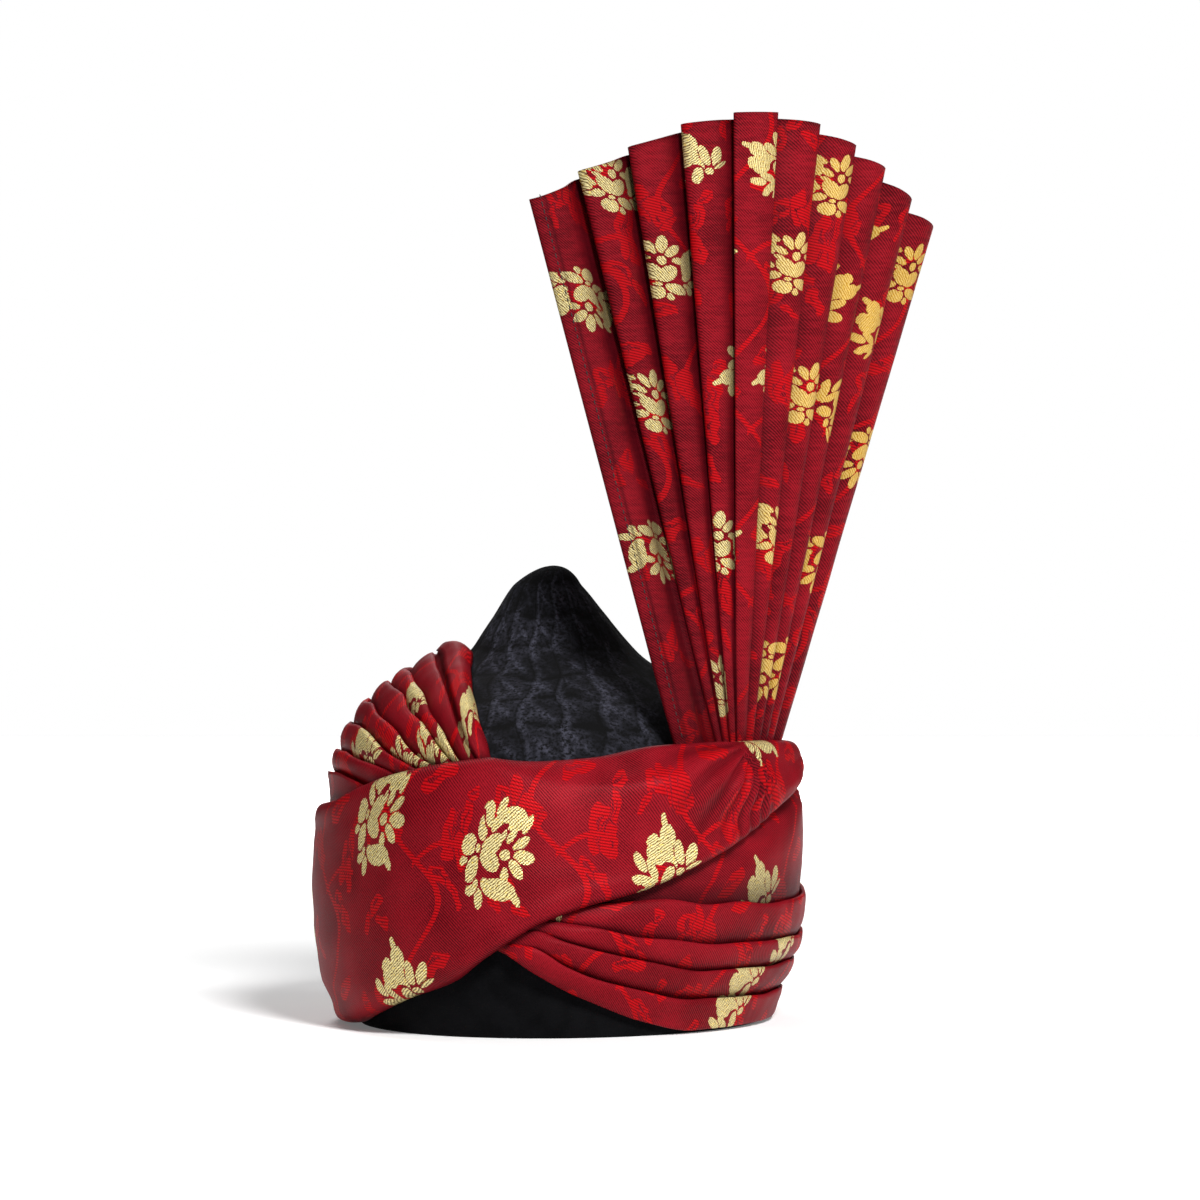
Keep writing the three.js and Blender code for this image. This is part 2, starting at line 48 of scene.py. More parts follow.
# Sizes and tables, as in the part's source
CAP_HALF_WIDTH, CAP_HEIGHT, BROW_HEIGHT = 93.0, 197.0, 95.0
HEAD_HALF_WIDTH, HEAD_HALF_LENGTH, BAND_EASE = 79.0, 98.0, 0.5
CROWN_THICK, CROWN_EASE, FLANK, LAYER_GAP = 2.5, 0.8, 239.0, 0.6
WRAP_BUILD, WRAP_PRESSED, WRAP_AT_RIM, PLEAT_DEPTH = 9.0, 5.5, 3.0, 2.6
FRONT_THICK, POCKET = 4.0, 6.0
FAN_PANEL, FAN_HEIGHT, FAN_FOLD, FAN_UNDERLAP = 23.2, 384.0, 5.5, 7.0
FAN_ROOT_FOLD, FAN_TUCK, FAN_SEAT = 1.9, 16.0, 1.3
FAN_START = (20.4, -117.1)
CLOTH = 0.9  # thickness of the fan's starched cloth
PLEAT_CLOTH = 34.0  # cloth that one lap of the wrap takes up
FAN_CLOTH = 39.0  # cloth that one pleat of the fan takes up
BAND_SOFT = 2.0  # rounding of the brow band's rims
CREASE_APART, CREASE_WIDE, CREASE_DEEP = 16.5, 2.0, 0.05  # creases pressed round the crown
PLEAT_EDGE = 6.0  # width over which the pleated wrap's outer edges round off
FRONT_EDGE_ROUND = 3.4  # and the front wrap's
GATHER_TURN, GATHER_STEP = 68, 17  # pinch gathers under the fan: place and spacing in degrees
GATHER_DEEP = 1.35
FAN_SWELL, FAN_MIDDLE_SWELL, FAN_DIP = 0.155, 0.105, 0.07  # shares of a pleat's width
FAN_FACE = 24.0  # a pleat's width over its swell
FAN_SHADE = (0.36, 0.28, 0.24, 0.08)  # painted shade over the first pleats, to darken them as if turned from the light
FAN_FLOWERS = 0.82  # the flowers' size on the fan
HEM_WIDE, HEM_THICK = 5.2, 0.7  # the doubled hem up the fan's free edge
HEM_SEAM, HEM_LINE = 4.2, 5.9  # its row of stitches, and the dark line beside it
FAR = 900.0  # a place on no flower, in the flowers' own millimetres
LOTUS_ASIDE = 200  # the lotus is drawn this far along from the branched flower

CAP_PROFILE = np.array([  # share of half width, share of height
    (0.921, 0), (0.95, 0.051), (0.981, 0.132), (1.003, 0.203), (1.009, 0.264), (0.992, 0.482),
    (0.95, 0.558), (0.871, 0.635), (0.742, 0.695), (0.581, 0.741), (0.452, 0.777), (0.419, 0.787),
    (0.339, 0.832), (0.234, 0.904), (0.151, 0.959), (0.083, 0.987), (0, 1)])
CAP_OVAL = np.array([  # share of height, length over width, lean
    (0, 1.204, 0), (0.48, 1.204, 0), (0.61, 1.18, -0.01), (0.8, 1.12, -0.048), (0.95, 1.1, -0.075),
    (1, 1.1, -0.04)])
PLEAT_LINES = np.array([  # turn, then low, d, c, e, a, h, g, f, k, m, n, b, top as shares of FLANK
    (-100, 0.05, 0.142, 0.184, 0.226, 0.268, 0.356, 0.414, 0.473, 0.531, 0.586, 0.64, 0.695, 0.745),
    (-75, 0.04, 0.18, 0.218, 0.255, 0.293, 0.439, 0.477, 0.523, 0.569, 0.615, 0.655, 0.709, 0.766),
    (-54, 0.05, 0.197, 0.226, 0.255, 0.285, 0.444, 0.477, 0.523, 0.563, 0.609, 0.646, 0.701, 0.77),
    (-45, 0.07, 0.203, 0.228, 0.255, 0.285, 0.437, 0.469, 0.513, 0.548, 0.598, 0.632, 0.688, 0.764),
    (-37, 0.09, 0.209, 0.234, 0.259, 0.285, 0.427, 0.46, 0.498, 0.533, 0.584, 0.615, 0.667, 0.745),
    (-29, 0.11, 0.209, 0.234, 0.259, 0.28, 0.414, 0.448, 0.477, 0.513, 0.556, 0.594, 0.642, 0.715),
    (-21, 0.13, 0.205, 0.23, 0.253, 0.276, 0.402, 0.433, 0.458, 0.481, 0.529, 0.556, 0.607, 0.68),
    (-14, 0.15, 0.199, 0.224, 0.247, 0.27, 0.389, 0.414, 0.439, 0.46, 0.494, 0.521, 0.563, 0.634),
    (-9, 0.16, 0.195, 0.218, 0.239, 0.259, 0.381, 0.402, 0.423, 0.444, 0.467, 0.483, 0.523, 0.596),
    (-5, 0.167, 0.19, 0.209, 0.23, 0.247, 0.377, 0.393, 0.412, 0.429, 0.446, 0.46, 0.481, 0.552),
    (-2, 0.165, 0.184, 0.203, 0.222, 0.238, 0.368, 0.385, 0.402, 0.418, 0.433, 0.446, 0.46, 0.521),
    (1, 0.163, 0.18, 0.197, 0.213, 0.23, 0.36, 0.377, 0.391, 0.406, 0.418, 0.431, 0.444, 0.475),
    (4, 0.157, 0.176, 0.19, 0.207, 0.222, 0.351, 0.366, 0.381, 0.393, 0.406, 0.418, 0.431, 0.448),
    (12, 0.121, 0.167, 0.192, 0.211, 0.226, 0.351, 0.364, 0.377, 0.387, 0.397, 0.408, 0.418, 0.427),
    (20, 0.088, 0.132, 0.174, 0.203, 0.226, 0.351, 0.362, 0.372, 0.383, 0.393, 0.402, 0.41, 0.418),
    (28, 0.063, 0.107, 0.157, 0.194, 0.234, 0.356, 0.366, 0.374, 0.383, 0.391, 0.399, 0.408, 0.416),
    (40, 0.031, 0.082, 0.136, 0.176, 0.238, 0.366, 0.372, 0.381, 0.389, 0.397, 0.404, 0.412, 0.42),
    (56, 0.008, 0.063, 0.115, 0.163, 0.23, 0.389, 0.397, 0.405, 0.413, 0.421, 0.429, 0.437, 0.446),
    (80, 0.008, 0.059, 0.113, 0.159, 0.222, 0.425, 0.431, 0.438, 0.444, 0.451, 0.457, 0.464, 0.471),
    (100, 0.008, 0.059, 0.113, 0.159, 0.226, 0.45, 0.456, 0.463, 0.469, 0.476, 0.482, 0.489, 0.496),
    (130, 0.008, 0.059, 0.117, 0.176, 0.243, 0.326, 0.36, 0.389, 0.414, 0.439, 0.464, 0.494, 0.521),
    (180, 0.017, 0.067, 0.126, 0.184, 0.243, 0.31, 0.36, 0.41, 0.452, 0.494, 0.536, 0.577, 0.619),
    (220, 0.042, 0.092, 0.142, 0.192, 0.243, 0.301, 0.36, 0.414, 0.469, 0.523, 0.577, 0.632, 0.686),
    (260, 0.05, 0.142, 0.184, 0.226, 0.268, 0.356, 0.414, 0.473, 0.531, 0.586, 0.64, 0.695, 0.745)])
FRONT_EDGES = np.array([  # turn, low, high (shares of FLANK), thick (of FRONT_THICK), press (of WRAP_PRESSED)
    (-240, 0.42, 0.49, 0.6, 1), (-228, 0.37, 0.49, 0.8, 1), (-210, 0.22, 0.455, 0.9, 1),
    (-180, 0.126, 0.42, 1, 1), (-150, 0.063, 0.4, 1, 1), (-120, 0.017, 0.385, 1, 1),
    (-90, 0.008, 0.385, 1, 1), (-65, 0.008, 0.392, 1, 1), (-49, 0.013, 0.402, 1, 1),
    (-36, 0.038, 0.427, 1, 1), (-22, 0.071, 0.452, 1.05, 1), (-8.5, 0.102, 0.469, 1.1, 1),
    (1.5, 0.15, 0.477, 1.1, 1), (14, 0.205, 0.48, 1.1, 1), (25, 0.234, 0.485, 1.1, 1),
    (36.5, 0.255, 0.493, 1.1, 1), (52, 0.297, 0.498, 1.1, 1), (64.5, 0.335, 0.496, 1.15, 0.85),
    (81.5, 0.389, 0.493, 1.1, 0.65), (95, 0.425, 0.49, 0.95, 0.6), (108, 0.445, 0.482, 0.6, 0.7)])
FAN_PLEATS = np.array([  # heading in plan, height of the left corner, turn of the root
    (50, 0.8935, 50), (44, 0.9266, 64.5), (36, 0.9547, 67), (34, 0.981, 69.5), (48, 0.9953, 72),
    (56, 0.9984, 75), (64, 0.988, 78), (72, 0.9682, 81.5), (74, 0.9471, 85), (80, 0.9156, 89),
    (80, 0.8883, 96)])
PLEATS = len(FAN_PLEATS) - 1
FAN_MIDDLE = 4  # the pleat that lies over both its neighbours


# Helpers
def ease(x):
    t = np.clip(x, 0, 1)
    return t * t * (3 - 2 * t)


def mix(a, b, t):
    return a + (b - a) * t


def curve(xs, ys, x):
    """Smooth curve through table rows that never overshoots them."""
    xs, ys, x = np.asarray(xs, float), np.asarray(ys, float), np.asarray(x, float)
    h, d = np.diff(xs), np.diff(ys) / np.diff(xs)
    m = np.zeros(len(xs))
    same = d[:-1] * d[1:] > 0
    w1, w2 = 2 * h[1:] + h[:-1], h[1:] + 2 * h[:-1]
    with np.errstate(divide="ignore", invalid="ignore"):
        m[1:-1] = np.where(same, (w1 + w2) / (w1 / d[:-1] + w2 / d[1:]), 0)
    m[0], m[-1] = d[0], d[-1]
    x = np.clip(x, xs[0], xs[-1])
    i = np.clip(np.searchsorted(xs, x) - 1, 0, len(xs) - 2)
    t = (x - xs[i]) / h[i]
    return ((1 + 2 * t) * (1 - t) ** 2 * ys[i] + t * (1 - t) ** 2 * h[i] * m[i]
            + t * t * (3 - 2 * t) * ys[i + 1] + t * t * (t - 1) * h[i] * m[i + 1])


def waves(seed, count, low, high):
    """Fixed soft noise over a plane: a few sine waves of unlike direction and length."""
    rng = np.random.default_rng(seed)
    ang, freq = rng.uniform(0, 2 * np.pi, count), rng.uniform(1 / high, 1 / low, count)
    phase, amp = rng.uniform(0, 2 * np.pi, count), rng.uniform(0.5, 1, count)

    def field(u, v):
        out = 0
        for k in range(count):
            along = u * np.cos(ang[k]) + v * np.sin(ang[k])
            out = out + amp[k] * np.sin(2 * np.pi * freq[k] * along + phase[k])
        return out / np.sqrt(count)
    return field


# The cap's side, and a place over it
flank_r, flank_z = CAP_PROFILE[:, 0] * CAP_HALF_WIDTH, CAP_PROFILE[:, 1] * CAP_HEIGHT
flank_s = np.concatenate([[0], np.cumsum(np.hypot(np.diff(flank_r), np.diff(flank_z)))])
FLANK_END = flank_s[-1]


def side_raw(s):
    """Radius and height at s along the cap's side: straight below the rim, mirrored past the tip."""
    past = s > FLANK_END
    at = np.where(past, 2 * FLANK_END - s, s)
    r, z = np.interp(at, flank_s, flank_r), np.interp(at, flank_s, flank_z) + np.minimum(at, 0)
    return np.where(past, -r, r), z


S_FINE = np.arange(-20, FLANK_END + 12, 0.25)
smoothed = np.mean([side_raw(S_FINE + k) for k in np.linspace(-8, 8, 17)], 0)
R_FINE, Z_FINE = smoothed
NR_FINE, NZ_FINE = np.gradient(Z_FINE, S_FINE), -np.gradient(R_FINE, S_FINE)
slope = np.hypot(NR_FINE, NZ_FINE)
NR_FINE, NZ_FINE = NR_FINE / slope, NZ_FINE / slope


def over(turn, s, t):
    """Points over the cap: turn in degrees, s along its side, t out from it."""
    turn, s, t = np.broadcast_arrays(np.asarray(turn, float), np.asarray(s, float), np.asarray(t, float))
    r, z = np.interp(s, S_FINE, R_FINE), np.interp(s, S_FINE, Z_FINE)
    nr, nz = np.interp(s, S_FINE, NR_FINE), np.interp(s, S_FINE, NZ_FINE)
    share = z / CAP_HEIGHT
    deep = np.interp(share, CAP_OVAL[:, 0], CAP_OVAL[:, 1])
    lean = np.interp(share, CAP_OVAL[:, 0], CAP_OVAL[:, 2]) * CAP_HALF_WIDTH
    a = np.radians(turn)
    return np.stack([lean + (r + t * nr) * np.sin(a), -(r * deep + t * nr) * np.cos(a), z + t * nz], -1)


def around(turn, start):
    """The same turn, written within a full circle from start."""
    return start + np.mod(np.asarray(turn, float) - start, 360)


def pleat_lines(turn):
    """The thirteen lines between the laps and rolls, from the lowest up."""
    at = around(turn, -100)
    return [curve(PLEAT_LINES[:, 0], PLEAT_LINES[:, 1 + i], at) * FLANK for i in range(13)]


def front_edge(turn, column):
    """A column of FRONT_EDGES at a turn: 1 low edge, 2 high edge, 3 thickness, 4 height of pressed pleats."""
    scale = (0, FLANK, FLANK, FRONT_THICK, WRAP_PRESSED)[column]
    return curve(FRONT_EDGES[:, 0], FRONT_EDGES[:, column], turn) * scale


def wrap_build(turn, s):
    """How far the pleated wrap stands out, pressed flatter where the front wrap covers it."""
    at = around(turn, -253)
    low, high, press = front_edge(at, 1), front_edge(at, 2), front_edge(at, 4)
    covered = 1 - ease((low + 1 - s) / 12) - ease((s - high - 2) / 12)
    to_rim = mix(WRAP_AT_RIM, WRAP_BUILD, ease((s - 4) / (0.16 * FLANK)))
    return mix(to_rim, np.minimum(to_rim, press), np.clip(covered, 0, 1))


def wrap_room(turn, s):
    """How far out the pleated wrap reaches, with easy shoulders past its edges."""
    lines = pleat_lines(turn)
    low, high = ease((s - lines[0] + 18) / 14), ease((lines[12] + 14 - s) / 12)
    return LAYER_GAP + (wrap_build(turn, s) + 0.8) * low * high


def root_room(turn, s):
    """Room under the front wrap for the fan's root."""
    at = around(turn, -120)
    return POCKET * ease((at - 28) / 15) * ease((110 - at) / 12) * ease((s - 0.37 * FLANK) / 14)


# Meshes
band_low, band_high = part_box("cap_band")
AXIS = (Vector(band_low) + Vector(band_high)) / 2  # the head's upright axis, in metres


def to_world(points):
    """Millimetres about the head's axis to metres in the frame."""
    p = np.asarray(points, float).reshape(-1, 3) * MM
    p[:, 0] += AXIS.x
    p[:, 1] += AXIS.y
    return p


def grid_faces(rows, cols, closed_rows=False, closed_cols=False, base=0):
    """Four-cornered faces of a grid of points, closed on itself either way where asked."""
    i = np.arange(rows if closed_rows else rows - 1)
    j = np.arange(cols if closed_cols else cols - 1)
    I, J = np.meshgrid(i, j, indexing="ij")
    a, b = I * cols + J, ((I + 1) % rows) * cols + J
    c, d = ((I + 1) % rows) * cols + (J + 1) % cols, I * cols + (J + 1) % cols
    return np.stack([a, b, c, d], -1).reshape(-1, 4) + base


def end_caps(rows, half):
    """Faces that close both ends of a grid whose rows run out along one side and back along the other."""
    caps = []
    for row in (0, rows - 1):
        base = row * 2 * half
        for j in range(half - 1):
            q = [base + j, base + j + 1, base + 2 * half - 2 - j, base + 2 * half - 1 - j]
            caps.append(q if row else q[::-1])
    return caps


def make(name, points, faces, material, layers):
    """Mesh object from points in millimetres. layers: UV map's name to (u, v) of each corner of each face."""
    mesh = bpy.data.meshes.new(name)
    mesh.from_pydata(to_world(points).tolist(), [], [list(map(int, f)) for f in faces])
    for key, value in layers.items():
        layer = mesh.uv_layers.new(name=key)
        layer.data.foreach_set("uv", np.asarray(value, np.float32).reshape(-1))
    mesh.validate()
    mesh.update()
    mesh.materials.append(material)
    mesh.shade_smooth()
    obj = bpy.data.objects.new(name, mesh)
    bpy.context.scene.collection.objects.link(obj)
    return obj


def face_outward(obj):
    """Turns the faces outward if the mesh's signed volume says they face in."""
    me = obj.data
    n = len(me.vertices)
    co = np.empty(n * 3)
    me.vertices.foreach_get("co", co)
    co = co.reshape(-1, 3)
    me.calc_loop_triangles()
    t = np.empty(len(me.loop_triangles) * 3, np.int32)
    me.loop_triangles.foreach_get("vertices", t)
    a, b, c = (co[t.reshape(-1, 3)[:, k]] for k in range(3))
    if (a * np.cross(b, c)).sum() < 0:
        me.flip_normals()


def run_along(points):
    """Length run at each point of a line."""
    return np.concatenate([[0], np.cumsum(np.linalg.norm(np.diff(points, axis=0), axis=1))])


def corner_values(left, right):
    """Per-corner values of a grid's faces, (faces, 4), from those at their left and right columns."""
    return np.stack([left[:-1], left[1:], right[1:], right[:-1]], -1).reshape(-1, 4)


def cloth_layers(u, v, flower, shade):
    """What the brocade reads: place on the cloth, place on the nearest flower, and painted shade down in the
    folds, under the front wrap and along edges.
    """
    return {"cloth": np.stack([u, v], -1), "flower": flower, "fold": np.stack([shade, shade], -1)}


# Shader building
def put_node(tree, kind, ins=(), **props):
    """A node with its properties and inputs set. Each input is a value, or a socket to link from."""
    node = tree.nodes.new(kind)
    for key, value in props.items():
        setattr(node, key, value)
    for key, value in (ins.items() if isinstance(ins, dict) else enumerate(ins)):
        if isinstance(value, bpy.types.NodeSocket):
            tree.links.new(value, node.inputs[key])
        else:
            node.inputs[key].default_value = value
    return node


class Shader:
    """Thin layer over a material's node tree, so that patterns read as formulas."""

    def __init__(self, name):
        self.mat = bpy.data.materials.new(name)
        self.mat.use_nodes = True
        self.tree = self.mat.node_tree
        self.tree.nodes.clear()

    def put(self, kind, ins=(), **props):
        return put_node(self.tree, kind, ins, **props)

    def math(self, op, *ins, clamp=False):
        return self.put("ShaderNodeMath", ins, operation=op, use_clamp=clamp).outputs[0]

    def add(self, a, b):
        return self.math("ADD", a, b)

    def mul(self, a, b):
        return self.math("MULTIPLY", a, b)

    def vec(self, op, *ins):
        n = self.put("ShaderNodeVectorMath", ins, operation=op)
        return n.outputs["Value"] if op == "LENGTH" else n.outputs[0]

    def uv(self, name):
        return self.put("ShaderNodeUVMap", uv_map=name).outputs[0]

    def xyz(self, v):
        return self.put("ShaderNodeSeparateXYZ", [v]).outputs

    def ramp(self, x, a, b):
        """0 at a, 1 at b, smooth between."""
        ins = {"Value": x, "From Min": a, "From Max": b}
        return self.put("ShaderNodeMapRange", ins, interpolation_type="SMOOTHSTEP").outputs[0]

    def blend(self, share, a, b):
        return self.put("ShaderNodeMix", {0: share, 6: a, 7: b}, data_type="RGBA").outputs[2]

    def noise(self, place, scale, detail=2.0, rough=0.5, output=0):
        """Output 0 is a number, 1 a colour."""
        ins = {"Vector": place, "Scale": scale, "Detail": detail, "Roughness": rough}
        return self.put("ShaderNodeTexNoise", ins).outputs[output]

    def ellipse(self, p, x, y, a, b, turn):
        """Distance from an ellipse's centre, 1 on its edge. The place's z is left out of it."""
        ins = [p, (x, y, 0), (0, 0, math.radians(turn)), (a, b, 1e6)]
        return self.vec("LENGTH", self.put("ShaderNodeMapping", ins, vector_type="TEXTURE").outputs[0])

    def petals(self, place, table, vein=None, rim=0.6):
        """Mask of petals painted one over the other, each with a rim that cuts into those below.

        The mask so far rides along in the place's z, so that the renderer works the petals out in turn.
        """
        x, y, _ = self.xyz(place)
        mask = 0.0
        for px, py, a, b, turn, paint in table:
            p = self.put("ShaderNodeCombineXYZ", [x, y, mask]).outputs[0]
            d = self.ellipse(p, px, py, a, b, turn)
            if paint == JOINED:
                mask = self.math("MAXIMUM", mask, self.math("LESS_THAN", d, 1))
                continue
            outside = self.math("GREATER_THAN", d, 1 + rim / min(a, b) if paint == PETAL else 1)
            if paint == WINDOW:
                mask = self.mul(mask, outside)
                continue
            mask = self.math("MULTIPLY_ADD", mask, outside, self.math("LESS_THAN", d, 1))
            if vein:
                p = self.put("ShaderNodeCombineXYZ", [x, y, mask]).outputs[0]
                slit = self.ellipse(p, px, py, vein * a, 0.3 * vein * b, turn)
                mask = self.mul(mask, self.math("GREATER_THAN", slit, 1))
        return mask

    def finish(self, color, rough, bump=None, metal=0.0, **consts):
        """Closes the material. bump: height, strength and depth in metres. consts: values by socket name."""
        ins = {"Base Color": color, "Roughness": rough, "Metallic": metal}
        ins.update({key.replace("_", " "): value for key, value in consts.items()})
        bsdf = self.put("ShaderNodeBsdfPrincipled", ins)
        if bump is not None:
            n = self.put("ShaderNodeBump", dict(zip(("Height", "Strength", "Distance"), bump)))
            self.tree.links.new(n.outputs[0], bsdf.inputs["Normal"])
        self.put("ShaderNodeOutputMaterial", [bsdf.outputs[0]])
        return self.mat


def srgb(r, g, b):
    """Linear colour with alpha from 8-bit values."""
    return (*(((c / 255 + 0.055) / 1.055) ** 2.4 if c > 10 else c / 255 / 12.92 for c in (r, g, b)), 1.0)


# Petals of the two woven flowers: x, y, half length, half width, turn, and how it is painted. Millimetres.
WINDOW, PETAL, JOINED = 0, 1, 2  # a red gap, a petal with a red rim, a part joined to those below it
FLOWER_A = [
    (1, -13.7, 7.2, 4.4, -14, 1), (3.3, -8.6, 3.9, 1.7, 84, 2), (7.7, -17.3, 4, 1.6, -62, 2),
    (-5, -11.6, 3, 1.7, -78, 2), (-2.4, -8, 4, 1.1, -8, 0), (-7.9, -17, 4.1, 1.8, 90, 1),
    (-10.8, -12.2, 3.9, 2.4, 62, 1), (-10.8, -5, 5.7, 2.6, 74, 1), (-14.5, -1, 2.3, 1.7, 60, 1),
    (-12.1, 5.1, 4.5, 3.3, 78, 1), (-5.8, 11.3, 4.9, 2.1, 83, 1), (-2.7, 16.4, 4.9, 2.2, 88, 1),
    (-3.9, 19.4, 1.8, 1.3, 30, 2), (2.3, 18.9, 3.9, 1.5, 56, 1), (7.7, 14.3, 5.6, 4.5, -10, 1),
    (1.5, 14.1, 5.6, 2, 48, 2), (13.3, 12, 4, 1.4, 58, 2), (6.5, 7.9, 3.5, 1.5, 55, 2),
    (2.3, 10.6, 3.4, 1.5, 36, 0), (10.4, 4.7, 4.2, 2, 38, 1), (11.6, -1, 4.5, 2.8, -14, 1),
    (8.3, -5.8, 4.6, 2.2, -58, 1), (-2.4, 4.1, 6.2, 3.4, 46, 1), (-3.1, -1.7, 5.4, 3.5, -58, 2),
    (3.2, 8.2, 2.4, 1, 66, 2), (-8.1, 3.3, 1.9, 1, 86, 1), (3.5, 0.2, 2.4, 2.2, 90, 1)]
FLOWER_B = [
    (-10.4, -4.9, 4.9, 2, 130, 1), (13.4, 0.7, 5.1, 2.7, 73, 1), (7.2, 1, 5.3, 2.3, 111, 1),
    (15.4, -3.4, 4.2, 1, 29, 1), (9.1, -6.8, 2.2, 1.7, 10, 1), (-7.5, -12.5, 5.7, 2.4, 172, 1),
    (-5.6, -16.1, 3.6, 1.1, 15, 2), (-8.3, -14.8, 2, 0.7, 165, 0), (-2, 0.4, 6.3, 5.8, 0, 1),
    (0.5, 6.6, 5.4, 3.7, 112, 2), (-1.9, 12, 3.6, 1.3, 116, 2), (-6.6, 4.6, 3, 2, 50, 2),
    (-4.3, -7.6, 5.6, 1.8, 120, 2), (4.3, -2.8, 3.6, 1.8, -55, 2), (2.2, -8.6, 5.2, 3.9, 80, 0),
    (3.3, -9.2, 4.3, 2.6, 72, 1)]
# Leaves of the red scrolls within one repeat, in the same columns.
SCROLL_TILE = (64.0, 72.0)
SCROLL_LEAVES = [
    (11, 56, 5.4, 5, 0, 1), (10.2, 56.5, 1.3, 2.2, 20, 0), (17, 55, 3, 8.5, 8, 1),
    (22.4, 52, 5, 6.4, 20, 1), (22, 54.6, 1.1, 1.6, 0, 0), (22.4, 49.4, 1.2, 1.1, 0, 0),
    (26, 47.6, 4.6, 2, 55, 1), (7.4, 48.4, 4.4, 1.6, 65, 1), (44, 66, 8.6, 3.6, 18, 1),
    (40.6, 66.4, 2.6, 0.9, 10, 0), (51, 43, 10, 3.8, 82, 1), (57, 49, 11, 2.6, 76, 1),
    (55.6, 37, 8, 3, 100, 1), (61, 59, 3.6, 2.4, 30, 1), (59.4, 58.6, 1.3, 0.8, 30, 0),
    (54.4, 45, 9, 0.5, 80, 0), (47, 27, 7, 3.2, -45, 1), (45.8, 28.4, 2.6, 1.1, -45, 0),
    (53.4, 19.6, 6.4, 2.2, -62, 1), (12, 21, 5.4, 3.2, 62, 1), (12.4, 21.6, 2, 0.8, 62, 0),
    (6.8, 14, 4.6, 2.2, 100, 1), (18, 12.6, 5, 2.1, -32, 1)]


# Threads of the brocade: dark and bright ends of each blend.
GROUND = srgb(54, 3, 7), srgb(142, 19, 31)
SCROLL = srgb(102, 3, 8), srgb(178, 12, 19)
GOLD = srgb(88, 62, 28), srgb(236, 222, 160)
# The second of these colours is that of painted glints on the gold.
GOLD_SPECK, GOLD_PAINTED_GLINT, GOLD_DEEP = srgb(118, 78, 34), srgb(236, 200, 74), srgb(206, 152, 30)
# FOLD_SHADE is the colour that painted shade darkens the cloth toward, in folds, under the front wrap and
# along edges.
FOLD_SHADE = srgb(26, 2, 6)
THREAD = 0.4  # patterns are drawn in steps of one thread, millimetres
TWILL, RIBS = 2 * math.pi / 1.3, 2 * math.pi / 1.2  # lines in the satin and gold, and in the scrolls
SHIFT = 500  # keeps the flowers' coordinates positive while they are drawn in steps


def woven_flowers(s, flower):
    """Mask of the gold flowers, in steps of a thread."""
    step = (THREAD, THREAD, THREAD)
    back = THREAD / 2 - SHIFT
    at = s.vec("ADD", s.vec("SNAP", s.vec("ADD", flower, (SHIFT, SHIFT, 0)), step), (back, back, 0))
    branched = s.petals(at, FLOWER_A)
    lotus = s.petals(s.vec("ADD", at, (-LOTUS_ASIDE, 0, 0)), FLOWER_B)
    return s.math("MAXIMUM", branched, lotus, clamp=True)


def woven_scrolls(s, cloth):
    """Mask of the red scrolls: wavy stems, short twigs and curled leaves in a repeat."""
    wide, tall = SCROLL_TILE
    x, y, _ = s.xyz(s.vec("SNAP", s.vec("ADD", cloth, (100 * wide, 100 * tall, 0)), (THREAD, THREAD, THREAD)))
    x, y = s.math("MODULO", x, wide), s.math("MODULO", y, tall)
    up = s.math("SINE", s.mul(y, 2 * math.pi / tall))
    along = s.math("SINE", s.mul(x, 2 * math.pi / wide))
    stem = s.math("LESS_THAN", s.math("ABSOLUTE", s.add(x, s.math("MULTIPLY_ADD", up, -12.0, -34.0))), 1.35)
    twig = s.math("LESS_THAN", s.math("ABSOLUTE", s.add(y, s.math("MULTIPLY_ADD", along, 8.0, -33.0))), 1.15)
    twig = s.mul(twig, s.math("LESS_THAN", s.math("ABSOLUTE", s.add(x, -46.0)), 13.0))
    sway = s.noise(s.vec("MULTIPLY", cloth, (0.11, 0.11, 0)), 1.0, 1.0, output=1)
    sway = s.vec("MULTIPLY", s.vec("ADD", sway, (-0.5, -0.5, 0)), (9.0, 9.0, 0))
    tile = s.vec("ADD", s.put("ShaderNodeCombineXYZ", [x, y, 0.0]).outputs[0], sway)
    leaves = s.petals(tile, SCROLL_LEAVES, vein=0.42, rim=0.5)
    return s.math("MAXIMUM", s.math("MAXIMUM", stem, twig), leaves)


